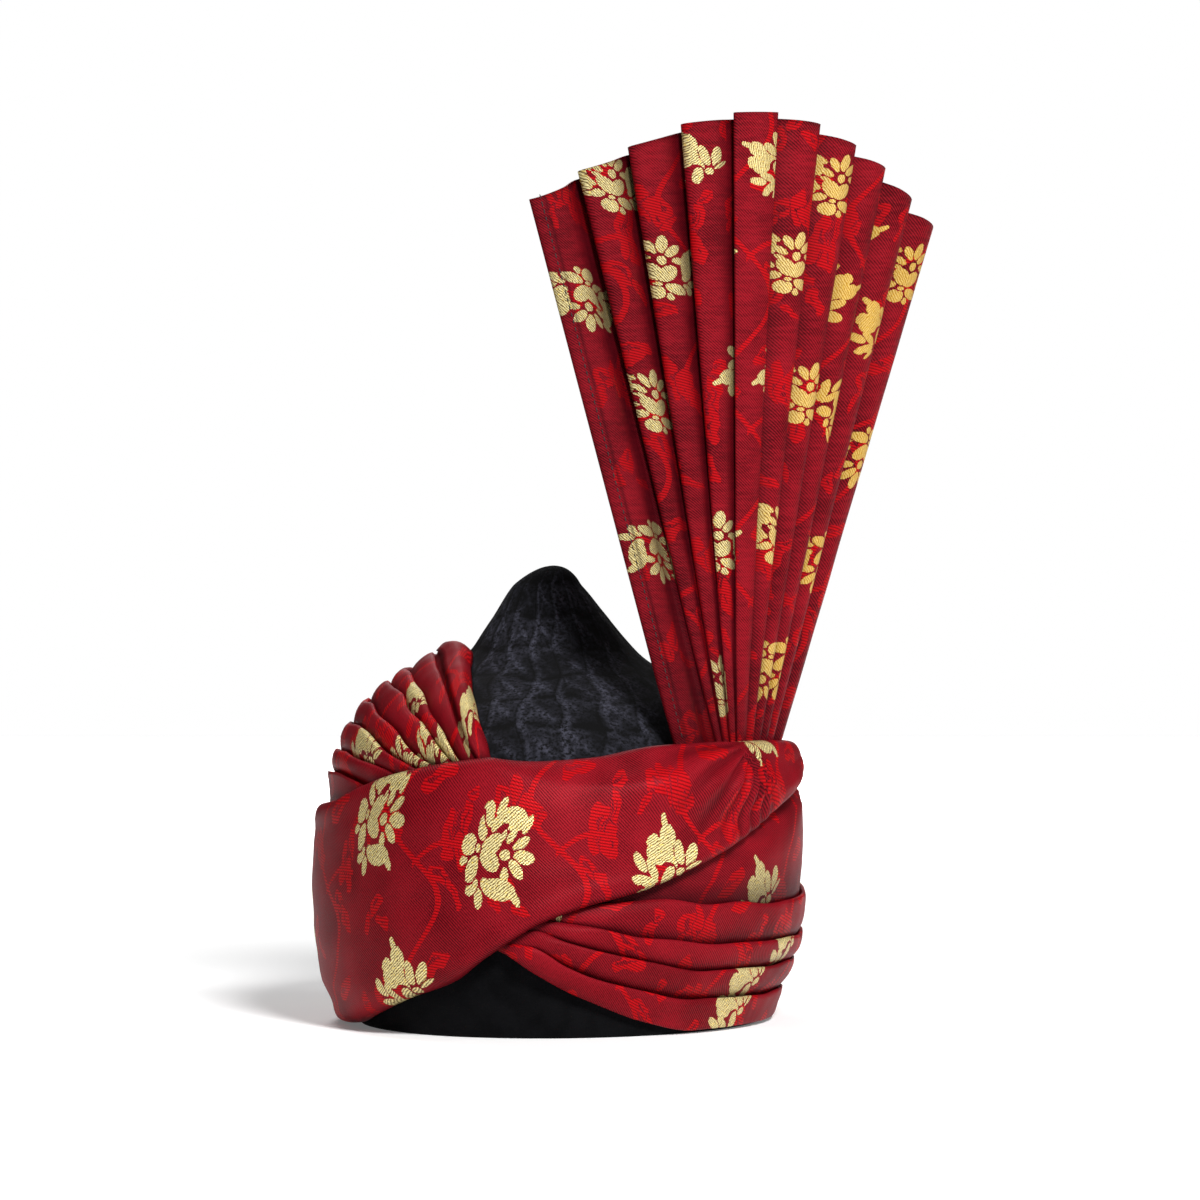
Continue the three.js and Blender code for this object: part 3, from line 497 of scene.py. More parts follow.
def brocade(name, gold_deep=0.0, streaks=0.0):
    """Red satin with brighter red scrolls and woven gold flowers.

    gold_deep: how much deeper a yellow the gold takes at the cloth's far end. streaks: strength of broken
    lines across the cloth, where the satin floats over more threads.
    """
    s = Shader(name)
    cloth, flower = s.uv("cloth"), s.uv("flower")
    gold, scroll = woven_flowers(s, flower), woven_scrolls(s, cloth)
    x, y, _ = s.xyz(cloth)
    fx, fy, _ = s.xyz(flower)
    twill = s.math("SINE", s.mul(s.add(x, y), TWILL))
    ribs = s.math("SINE", s.mul(s.add(y, s.mul(x, 0.25)), RIBS))
    stray = s.noise(s.vec("MULTIPLY", flower, (0.5, 0.5, 0)), 1.0)
    slant = s.math("SUBTRACT", fy, s.mul(fx, 0.75))
    threads = s.math("SINE", s.math("MULTIPLY_ADD", slant, TWILL, s.mul(stray, 9.0)))
    soft = s.noise(s.vec("MULTIPLY", cloth, (0.035, 0.035, 0)), 1.0)
    grain = s.noise(s.vec("MULTIPLY", cloth, (1.9, 0.8, 0)), 1.0, 1.0, 0.7)
    # Painted glints: scattered bright spots on the gold.
    painted_glint = s.ramp(s.noise(s.vec("MULTIPLY", flower, (1.1, 1.1, 0)), 1.0, 1.0), 0.6, 0.7)
    speck = s.ramp(s.noise(s.vec("MULTIPLY", flower, (2.3, 1.7, 0)), 1.0, 1.0), 0.5, 0.36)

    if streaks:
        streak = s.ramp(s.noise(s.vec("MULTIPLY", cloth, (0.09, 0.6, 0)), 1.0, 3.0, 0.65), 0.4, 0.62)
        soft = s.math("MULTIPLY_ADD", streak, streaks, s.add(soft, -0.55 * streaks))
    shine = s.math("MULTIPLY_ADD", twill, 0.36, s.math("MULTIPLY_ADD", grain, 0.7, soft))
    ground = s.blend(s.ramp(shine, 0.2, 1.4), *GROUND)
    bright = s.blend(s.ramp(s.math("MULTIPLY_ADD", grain, 0.8, ribs), -0.9, 1.1), *SCROLL)
    red = s.blend(s.mul(scroll, 0.92), ground, bright)
    pale = s.blend(s.ramp(s.math("MULTIPLY_ADD", grain, 1.6, threads), -0.4, 1.5), *GOLD)
    pale = s.blend(s.mul(speck, 0.55), pale, GOLD_SPECK)
    # Painted glints blended into the gold.
    pale = s.blend(s.mul(painted_glint, 0.7), pale, GOLD_PAINTED_GLINT)
    if gold_deep:
        pale = s.blend(s.mul(s.ramp(x, 120, 300), gold_deep), pale, GOLD_DEEP)
    color = s.blend(gold, red, pale)
    # Painted shade: the fold layer darkens the colour toward FOLD_SHADE in folds, under the front wrap and
    # along edges.
    color = s.blend(s.mul(s.xyz(s.uv("fold"))[0], 0.75), color, FOLD_SHADE)
    rough = s.math("MULTIPLY_ADD", gold, -0.08, s.math("MULTIPLY_ADD", grain, 0.18, 0.38))
    metal = s.math("MULTIPLY_ADD", gold, 0.26, 0.1)
    height = s.math("MULTIPLY_ADD", grain, 0.6, s.mul(twill, 0.35))
    return s.finish(color, rough, (height, 0.45, 0.0002), metal, Specular_IOR_Level=0.04)


def embossed_velvet(name):
    """Black velvet of the crown: a loose grid of raised strokes with a slanting one in each field, lighter
    partly as the pressed pattern and partly as painted sheen, with painted shade in the grooves.
    """
    s = Shader(name)
    at = s.put("ShaderNodeTexCoord").outputs["Object"]
    cloth = s.uv("cloth")

    def near(value, middle, wide):
        return s.ramp(s.math("ABSOLUTE", s.math("SUBTRACT", value, middle)), wide * 1.3, 0.0)

    warp = s.noise(s.vec("MULTIPLY", cloth, (0.05, 0.05, 0)), 1.0, 0.0)
    x, y, _ = s.xyz(s.vec("ADD", cloth, (1700, 1800, 0)))
    p = s.math("FRACT", s.mul(s.math("MULTIPLY_ADD", warp, 11.0, x), 1 / 15.0))
    q = s.math("FRACT", s.mul(s.math("MULTIPLY_ADD", warp, -13.0, y), 1 / 18.0))
    slant = s.mul(near(s.add(p, q), 1.0, 0.19), s.ramp(q, 0.1, 0.4))
    short = s.mul(near(s.math("SUBTRACT", p, q), 0.1, 0.16), s.ramp(p, 0.9, 0.5))
    border = s.math("MAXIMUM", near(p, 0.14, 0.13), s.mul(near(q, 0.82, 0.1), 0.35))
    raised = s.math("MAXIMUM", border, s.math("MAXIMUM", slant, s.mul(short, 0.7)))
    groove = s.math("MAXIMUM", near(q, 0.0, 0.09), s.mul(near(p, 0.97, 0.05), 0.8))
    groove = s.math("MAXIMUM", groove, near(q, 1.0, 0.09))
    speck = s.noise(at, 700, 2.0, 0.65)
    # Random patches of painted sheen.
    patchy_sheen = s.math("MULTIPLY_ADD", s.ramp(s.noise(at, 45, 3.0, 0.6), 0.35, 0.62), 0.85, 0.15)
    # The raised strokes take the lighter, grey-blue end, partly as the pressed pattern and partly as painted
    # sheen.
    tone = s.mul(s.math("MULTIPLY_ADD", raised, 0.68, 0.24), s.mul(patchy_sheen, s.ramp(speck, 0.3, 0.66)))
    # Painted shade darkens the grooves.
    tone = s.math("SUBTRACT", tone, s.mul(groove, 0.09), clamp=True)
    color = s.blend(tone, srgb(5, 5, 6), srgb(60, 60, 71))
    height = s.add(s.math("SUBTRACT", s.mul(raised, 0.5), s.mul(groove, 0.15)), s.mul(speck, 0.8))
    return s.finish(color, 0.9, (height, 0.6, 0.0004), Specular_IOR_Level=0.1)


def black_cotton(name):
    """Plain cotton of the brow band: mottled, with a fine woven grain round and up the ring."""
    s = Shader(name)
    at = s.put("ShaderNodeTexCoord").outputs["Object"]
    mottle, speck = s.noise(at, 60, 4.0, 0.6), s.noise(at, 1500, 2.0, 0.6)
    x, y, z = s.xyz(at)
    warp = s.math("SINE", s.mul(s.math("ARCTAN2", x, y), 520))
    weft = s.math("SINE", s.mul(z, 2 * math.pi / (0.9 * MM)))
    grain = s.mul(s.add(warp, weft), 0.25)
    color = s.blend(s.ramp(s.add(mottle, s.mul(speck, 0.35)), 0.45, 0.85), srgb(3, 3, 4), srgb(10, 10, 12))
    height = s.add(grain, s.mul(speck, 0.8))
    return s.finish(color, 0.9, (height, 0.5, 0.00015), Specular_IOR_Level=0.06)


# Flowers on the cloth
# Flowers where the photograph shows them: the lap, roll, face or pleat that they lie on, their place along
# and across its cloth in millimetres, their turn in degrees, and their kind, 0 for the branched flower or 1
# for the lotus.
FLOWERS = {
    "front_wrap": [
        (0, 8.5, -37.8, 0, 0), (0, -51.2, -17, -4, 0), (0, 80, -41.4, -10, 1), (0, -41.1, -80, -8, 1),
        (0, 142, 11, 10, 0)],
    "pleated_wrap": [
        (4, 832, 131, 4, 1), (2, 850, 104, 20, 1), (1, 815, 64, 30, 1), (0, 803, 32, 20, 1),
        (3, 712, 147, 60, 1), (11, 522, 404, 60, 1), (9, 585, 334, 40, 1), (9, 542, 339, 20, 1),
        (8, 606, 296, 40, 0), (7, 616, 262, 20, 0), (6, 596, 236, 10, 1)],
    "fan": [
        (1, 53, 351.9, 90, 0), (0, 12.6, 302.8, -90, 0), (2, 84.6, 317.3, 90, 0), (1, 49, 262, 90, 0),
        (3, 120, 363, 0, 1), (4, 170.4, 363, 45, 1), (4, 145, 322.6, -90, 1), (5, 210.8, 321, 90, 0),
        (6, 248.3, 354.6, 90, 0), (7, 281, 311, -90, 1), (8, 327.2, 299, 25, 1), (8, 309, 337, -90, 1),
        (9, 362.8, 321, 90, 0), (3, 134, 272.4, 90, 1), (4, 176, 272.8, 90, 1), (6, 251, 267, 90, 0),
        (7, 295, 262.6, -90, 1), (9, 367, 241, -90, 0), (0, 17, 199.6, -90, 0), (3, 119, 204, 90, 0),
        (4, 146, 206, -90, 1), (5, 221, 207.8, 90, 0), (8, 335, 196, -90, 0), (2, 82, 144, 90, 0),
        (6, 252, 149.4, -90, 0), (7, 296, 151, -90, 0)]}
# Where the photograph shows every flower, so that none are added: first and last panel, and stretch along
# the cloth.
PHOTOGRAPHED = {"front_wrap": (0, 0, -105, 175), "pleated_wrap": (0, 11, 470, 880), "fan": (0, 9, -10, 420)}


def flower_uv(piece, panels, u, v, base_turn, spacing, seed, size=1.0):
    """Place on the nearest flower for each corner. panels: (faces,), u and v: (faces, 4) on the cloth.

    Where the photograph shows none, flowers stand in a loose grid and are turned about base_turn.
    """
    rng = np.random.default_rng(seed)
    first_panel, last_panel, from_u, to_u = PHOTOGRAPHED[piece]
    step_u, step_v = spacing
    out = np.full(u.shape + (2,), FAR)
    mid_u, mid_v = u.mean(-1), v.mean(-1)
    for panel in np.unique(panels):
        pick = np.nonzero(panels == panel)[0]
        at_u, at_v = mid_u[pick], mid_v[pick]
        seen = first_panel <= panel <= last_panel
        centres = [row[1:] for row in FLOWERS[piece] if row[0] == panel]
        for i in range(math.floor(at_u.min() / step_u) - 1, math.ceil(at_u.max() / step_u) + 2):
            for j in range(math.floor(at_v.min() / step_v) - 1, math.ceil(at_v.max() / step_v) + 2):
                along = (i + 0.5 * (j % 2)) * step_u + rng.uniform(-4, 4)
                across = (j + 0.35) * step_v + rng.uniform(-5, 5) + (panel * 0.37 % 1) * 14 - 7
                if seen and from_u - 22 < along < to_u + 22:
                    continue
                centres.append((along, across, base_turn + rng.uniform(-9, 9), int((i + j) % 3 == 1)))
        c = np.array(centres or [(10 * FAR, 10 * FAR, 0, 0)])
        near = c[((at_u[:, None] - c[:, 0]) ** 2 + (at_v[:, None] - c[:, 1]) ** 2).argmin(1)]
        a = -np.radians(near[:, 2])[:, None]
        du, dv = (u[pick] - near[:, :1]) / size, (v[pick] - near[:, 1:2]) / size
        out[pick, :, 0] = du * np.cos(a) - dv * np.sin(a) + LOTUS_ASIDE * near[:, 3:4]
        out[pick, :, 1] = du * np.sin(a) + dv * np.cos(a)
    return out


# Brow band
def brow_band(material):
    """Padded ring with soft rims: up its outside and down its inside."""
    a = np.radians(np.arange(0, 360, 1.5 * QUICK))[:, None]
    curl = BAND_SOFT * (1 - np.cos(np.radians([30, 60, 90])))
    side = np.linspace(6, BROW_HEIGHT - 6, 22)
    zs = np.concatenate([[0], curl, side, BROW_HEIGHT - curl[::-1], [BROW_HEIGHT]])
    from_rim = np.clip(np.minimum(zs, BROW_HEIGHT - zs) / BAND_SOFT, 0, 1)
    rounded = BAND_SOFT * (1 - np.sqrt(np.clip(1 - (1 - from_rim) ** 2, 0, 1)))
    r = np.interp(zs, S_FINE, R_FINE) - BAND_EASE
    walls = []
    outside, inside = (r, r * CAP_OVAL[0, 1], -rounded), (HEAD_HALF_WIDTH, HEAD_HALF_LENGTH, rounded)
    for wide, long, inset in (outside, inside):
        walls.append(np.stack([(wide + inset) * np.sin(a), -(long + inset) * np.cos(a), zs + 0 * a], -1))
    pts = np.concatenate([walls[0], walls[1][:, ::-1]], 1)
    return make("brow_band", pts, grid_faces(*pts.shape[:2], True, True), material, {})


# Crown
def crown_cap(material):
    """Thin dome of creased cloth, open below: outside, inside, a tip on each and a foot between them."""
    step = 1.25 * QUICK
    turns = np.arange(0, 360, step)
    start, foot = 0.4 * FLANK + LAYER_GAP, BROW_HEIGHT + LAYER_GAP
    outer_s = mix(start, FLANK_END, np.concatenate([np.linspace(0, 0.97, 104), [0.985, 0.995]]))
    inner_s = mix(start, FLANK_END, np.linspace(0.96, 0, 34))
    inner_t = -CROWN_THICK - 0.4
    T, S = np.meshgrid(turns, outer_s, indexing="ij")
    girth = np.radians(T) * 62
    rows = np.abs(((S + 2.2 * np.sin(girth / 19 + 1)) / CREASE_APART + 0.3) % 1 - 0.5) * CREASE_APART
    creases = -CREASE_DEEP * np.exp(-(rows / CREASE_WIDE) ** 2)
    dents = waves(5, 9, 18, 60)(girth, S) * 0.27
    calm = ease((np.interp(S, S_FINE, R_FINE) - 10) / 18)
    t = -CROWN_EASE + np.minimum((creases + dents - 0.1) * calm, 0.35 * ease((S - 150) / 10))
    outer = over(T, S, t)
    outer[:, 0, 2] = foot
    inner = over(turns[:, None], inner_s, inner_t)
    inner[:, -1, 2] = foot
    n, mo, mi = len(turns), len(outer_s), len(inner_s)
    tips = [over(0, FLANK_END, -CROWN_EASE), over(0, FLANK_END, inner_t)]
    pts = np.concatenate([outer.reshape(-1, 3), inner.reshape(-1, 3), tips])
    faces = grid_faces(n, mo, True).tolist() + grid_faces(n, mi, True, base=n * mo).tolist()
    tip, under = len(pts) - 2, len(pts) - 1
    for i in range(n):
        j = (i + 1) % n
        faces.append([i * mo + mo - 1, j * mo + mo - 1, tip])
        faces.append([n * mo + j * mi, n * mo + i * mi, under])
        faces.append([n * mo + i * mi + mi - 1, n * mo + j * mi + mi - 1, j * mo, i * mo])

    def cloth_uv(s_list, lift):
        """Along the girth from the side that faces forward, and up over the dome."""
        reach = 30 + 0.52 * np.interp(s_list, S_FINE, R_FINE)
        at = around(turns, -164)[:, None] - 16
        here, there = np.radians(at) * reach, np.radians(at + step) * reach
        up = np.broadcast_to(s_list, here.shape) + lift
        uu = np.stack([here[:, :-1], there[:, :-1], there[:, 1:], here[:, 1:]], -1)
        vv = np.stack([up[:, :-1], up[:, :-1], up[:, 1:], up[:, 1:]], -1)
        return np.stack([uu, vv], -1).reshape(-1, 2)

    loops = np.zeros((sum(len(f) for f in faces), 2))
    walls = np.concatenate([cloth_uv(outer_s, 0), cloth_uv(inner_s, 500)])
    loops[:len(walls)] = walls
    return make("crown_cap", pts, faces, material, {"cloth": loops})


# Pleated wrap
def fold_show(turn, band):
    """How far a lap or roll stands out as a fold: the laps low on one side, the rolls high on the other."""
    at = around(turn, -180)
    laps = ease((at - 4) / 16) + ease((-105 - at) / 20)
    rolls = ease((-2 - at) / 10) + ease((at - 108) / 20)
    return np.clip(laps if band < 5 else rolls, 0, 1)


LAP = np.array([  # share of the lap's width, tuck, nose, share of its depth
    (0, -1, 0, 1.12), (0.02, 0, 0, 1), (0.12, 0, 0, 0.76), (0.25, 0, 0, 0.48), (0.4, 0, 0, 0.26),
    (0.56, 0, 0, 0.1), (0.72, 0, 0, 0.02), (0.86, 0, 0, 0), (0.96, 0, 0, 0.03), (1, 0, 0.7, 0.15),
    (1, 0, 1, 0.42), (1, 0, 0.6, 0.7), (1, -0.4, 0, 0.92)])
# Shares of the width in the columns where the wrap's two outer edges round off.
FIRST_LAP = np.array([0, 0.006, 0.02, 0.05, 0.1, 0.2, 0.35, 0.6, 0.85])
LAST_ROLL = np.array([0.2, 0.4, 0.56, 0.7, 0.8, 0.88, 0.94, 0.98, 1.0])


def pleated_wrap(material):
    """Five laps and seven rolls as columns of points round the cap, closed over a plain back."""
    turns = np.arange(0, 360 + 1e-9, 0.75 * QUICK)
    lines = pleat_lines(turns)
    sway, lift = waves(11, 8, 25, 90), waves(12, 9, 12, 50)
    at = around(turns, -253)
    front_low, front_high = front_edge(at, 1), front_edge(at, 2)
    places, cloth = [], []  # s and t over the cap; band, run, seam, place across the cloth and painted shade
    for band in range(12):
        is_lap = band < 5
        low, high = lines[band], lines[band + 1]
        wide = high - low
        show = fold_show(turns, band)
        depth = show * np.minimum(1, wide / 6) * PLEAT_DEPTH * (1.08 if is_lap else 1.3)
        tuck, nose = np.minimum(2.4, 0.35 * wide) * show, np.minimum(0.9, 0.14 * wide) * show
        run = run_along(over(turns, high, 6.0))
        wobble = 0.5 * sway(run, band * 40.0) * show * ease(wide / 8)
        for k, (share, tucked, nosed, sink) in enumerate(LAP):
            sunk = sink
            s = low + share * wide + tucked * tuck + nosed * nose
            s = s + (wobble if share > 0.5 else wobble * share)
            if band == 0 and k < len(FIRST_LAP):
                s, sunk = low + FIRST_LAP[k] * wide, 0
            if band == 11 and k >= 4:
                s, sunk = low + LAST_ROLL[k - 4] * wide, sunk if k < 8 else 0
            rise = np.clip(np.minimum(s - lines[0], lines[12] - s) / PLEAT_EDGE, 0, 1)
            rounding = np.sqrt(np.clip(1 - (1 - rise) ** 2, 0, 1))
            crumple = 0.22 * lift(run, s + 31 * band) * show
            build = mix(1.6, wrap_build(turns, s) + crumple, rounding) - depth * sunk * rounding
            places.append((s, LAYER_GAP + build))
            # Painted shade in the valley where each lap goes under the next, little on the rolls.
            dark = ease((sunk - 0.1) / 0.9) * show * ease(wide / 5) * (1.0 if is_lap else 0.2)
            # Painted shade where the cloth goes under the front wrap.
            to_front = np.where(s < (front_low + front_high) / 2, front_low - s, s - front_high)
            dark = np.clip(dark + 0.9 * (1 - ease(to_front / 5)), 0, 1)
            across = (band + 1) * PLEAT_CLOTH - (high - s) + (0 if share < 1 else sink * 2)
            cloth.append((band, run, -80 if is_lap else 80, across, dark))
    for share in np.linspace(1, 0, 16):
        s = mix(lines[0], lines[12], share)
        places.append((s, LAYER_GAP + 0 * turns))
        cloth.append((11 if share > 0.5 else 0, run, 80, 500 + s, 0 * turns))
    S, T = (np.stack([place[k] for place in places], 1) for k in (0, 1))
    pts = over(turns[:, None], S, T)
    n, m = len(turns) - 1, len(places)
    u, v, shade = (np.zeros((n, m, 4)) for _ in range(3))
    panels = np.zeros((n, m), int)
    for c, (band, run, seam, across, dark) in enumerate(cloth):
        d = (c + 1) % m
        past_seam = (turns[:-1] + 1e-6 < seam % 360) * run[-1]
        a, b = run[:-1] + past_seam, run[1:] + past_seam
        next_across = cloth[d][3] if cloth[d][0] == band and d > c else across + 3
        next_dark = cloth[d][4]
        u[:, c] = np.stack([a, b, b, a], -1)
        v[:, c] = np.stack([across[:-1], across[1:], next_across[1:], next_across[:-1]], -1)
        shade[:, c] = np.stack([dark[:-1], dark[1:], next_dark[1:], next_dark[:-1]], -1)
        panels[:, c] = band
    u, v, shade = (value.reshape(-1, 4) for value in (u, v, shade))
    flower = flower_uv("pleated_wrap", panels.reshape(-1), u, v, 0, (62, 34), 21)
    faces = grid_faces(n, m, True, True)
    return make("pleated_brocade_wrap", pts[:-1], faces, material, cloth_layers(u, v, flower, shade))


# Front wrap
def front_wrap(material):
    """Broad smooth fold of brocade: its outside from the low edge up, then its back down again."""
    turns = np.linspace(FRONT_EDGES[0, 0], FRONT_EDGES[-1, 0], 464 // QUICK)
    edge_shares = np.array([0, 0.004, 0.012, 0.025, 0.045])
    high_shares = [0.955, 0.975, 0.988, 0.996, 1]
    shares = np.concatenate([edge_shares, np.linspace(0.07, 0.93, 40), high_shares])
    low, high, thick = (front_edge(turns, k)[:, None] for k in (1, 2, 3))
    T = turns[:, None] + 0 * shares
    S = mix(low, high, shares)
    run = run_along(over(turns, (low + high)[:, 0] / 2, 10.0))
    run = run - np.interp(0, turns, run)
    U = run[:, None] + 0 * S
    V = S - high
    room = wrap_room(T, S) + root_room(T, S) + LAYER_GAP
    edge = np.minimum(S - low, high - S)
    rise = np.sqrt(np.clip(1 - (1 - np.clip(edge / FRONT_EDGE_ROUND, 0, 1)) ** 2, 0, 1))
    # Pinch gathers run from the fan's foot down to the left.
    du, dv = U - np.interp(GATHER_TURN, turns, run), V + 2
    reach, angle = np.hypot(du, dv * 1.25), np.degrees(np.arctan2(-dv, -du))
    fold = np.cos(np.radians((angle + 5 * np.sin(reach / 17)) * 360 / GATHER_STEP))
    pinch = fold * ease((reach - 3) / 9) * (1 - ease((reach - 16) / 52)) * GATHER_DEEP
    pinch = pinch * ease((angle + 25) / 20) * ease((150 - angle) / 40)
    # Long slack folds of the stretched cloth, and a roll along both edges.
    slack = waves(31, 7, 30, 120)(U * 0.35, V * 1.6) * 0.4
    slack = slack + waves(32, 8, 9, 26)(U * 0.3 + 0.2 * V, V * 0.8) * 0.13
    edge_roll = 0.5 * np.exp(-((edge - 5.5) / 3.2) ** 2) - 0.35 * np.exp(-((edge - 11) / 4) ** 2)
    swell = slack + pinch + edge_roll * ease((T + 235) / 20)
    out_t = room + mix(0.15, thick + np.clip(swell, -1.5, 2.2), rise)
    pts = np.concatenate([over(T, S, out_t), over(T, S, room)[:, ::-1]], 1)
    n, half = len(turns), len(shares)
    m = 2 * half
    u_left = np.concatenate([U, U], 1)
    v_left = np.concatenate([V, V[:, ::-1] + 400], 1)
    v_right = np.roll(v_left, -1, 1)
    v_right[:, [half - 1, m - 1]] = v_left[:, [half - 1, m - 1]] + 1
    u, v = corner_values(u_left, np.roll(u_left, -1, 1)), corner_values(v_left, v_right)
    panels = np.tile((np.arange(m) >= half).astype(int), n - 1)
    flower = flower_uv("front_wrap", panels, u, v, 0, (92, 78), 33)
    # Painted shade along both edges and in the valleys of the pinch gathers.
    dark = np.clip(1 - np.concatenate([edge, edge[:, ::-1]], 1) / 2.2, 0, 1) * 0.55
    dark[:, :half] += 0.5 * np.clip(0.2 - pinch, 0, 1) * ease(np.abs(pinch) * 4)
    shade = corner_values(dark, np.roll(dark, -1, 1))
    caps = end_caps(n, half)
    plain = np.zeros((len(caps), 4))
    u, v, shade = (np.concatenate([value, plain]) for value in (u, v, shade))
    flower = np.concatenate([flower, np.full((len(caps), 4, 2), FAR)])
    faces = np.concatenate([grid_faces(n, m, False, True), caps])
    return make("front_brocade_wrap", pts, faces, material, cloth_layers(u, v, flower, shade))


# Fan
def fan_columns():
    """Lines up the pleats, three to each: left corner, middle and right corner, as in the part's source."""
    corners = [np.array(FAN_START)]
    for heading, _, _ in FAN_PLEATS[:-1]:
        a = math.radians(heading)
        corners.append(corners[-1] + FAN_PANEL * np.array([math.cos(a), math.sin(a)]))
    columns = []
    for p in range(PLEATS):
        (heading, top, root), (_, next_top, next_root) = FAN_PLEATS[p], FAN_PLEATS[p + 1]
        a = math.radians(heading)
        left, right = (-1 if p > FAN_MIDDLE else 0), (1 if p < FAN_MIDDLE else 0)
        for share, under in ((0, left), (0.5, (left + right) * 0.42), (1, right)):
            x, y = mix(corners[p], corners[p + 1], share)
            z = mix(top, next_top, share) * FAN_HEIGHT - abs(under) * 2
            columns.append((x, y, math.cos(a), math.sin(a), z, mix(root, next_root, share), under))
    return columns


def fan_line(column, shares):
    """Points up one line: shares below 0 are tucked under the front wrap, 1 is the top."""
    x, y, ax, ay, z, root, under = column
    behind = abs(under)
    s = front_edge(root, 2) + 1 + np.minimum(shares, 0) * FAN_TUCK
    turn = np.full(len(shares), root)
    seat = wrap_room(turn, s) + root_room(turn, s) - FAN_SEAT
    foot = over(turn, s, seat - behind * FAN_ROOT_FOLD)
    up = np.clip(shares, 0, 1)
    spread = ease(up * 1.6)
    fold, reach = behind * mix(FAN_ROOT_FOLD, FAN_FOLD, spread), under * FAN_UNDERLAP * spread
    top = np.stack([x + ax * reach - ay * fold, y + ay * reach + ax * fold, np.full(len(up), z)], -1)
    return foot + (top - foot) * up[:, None]


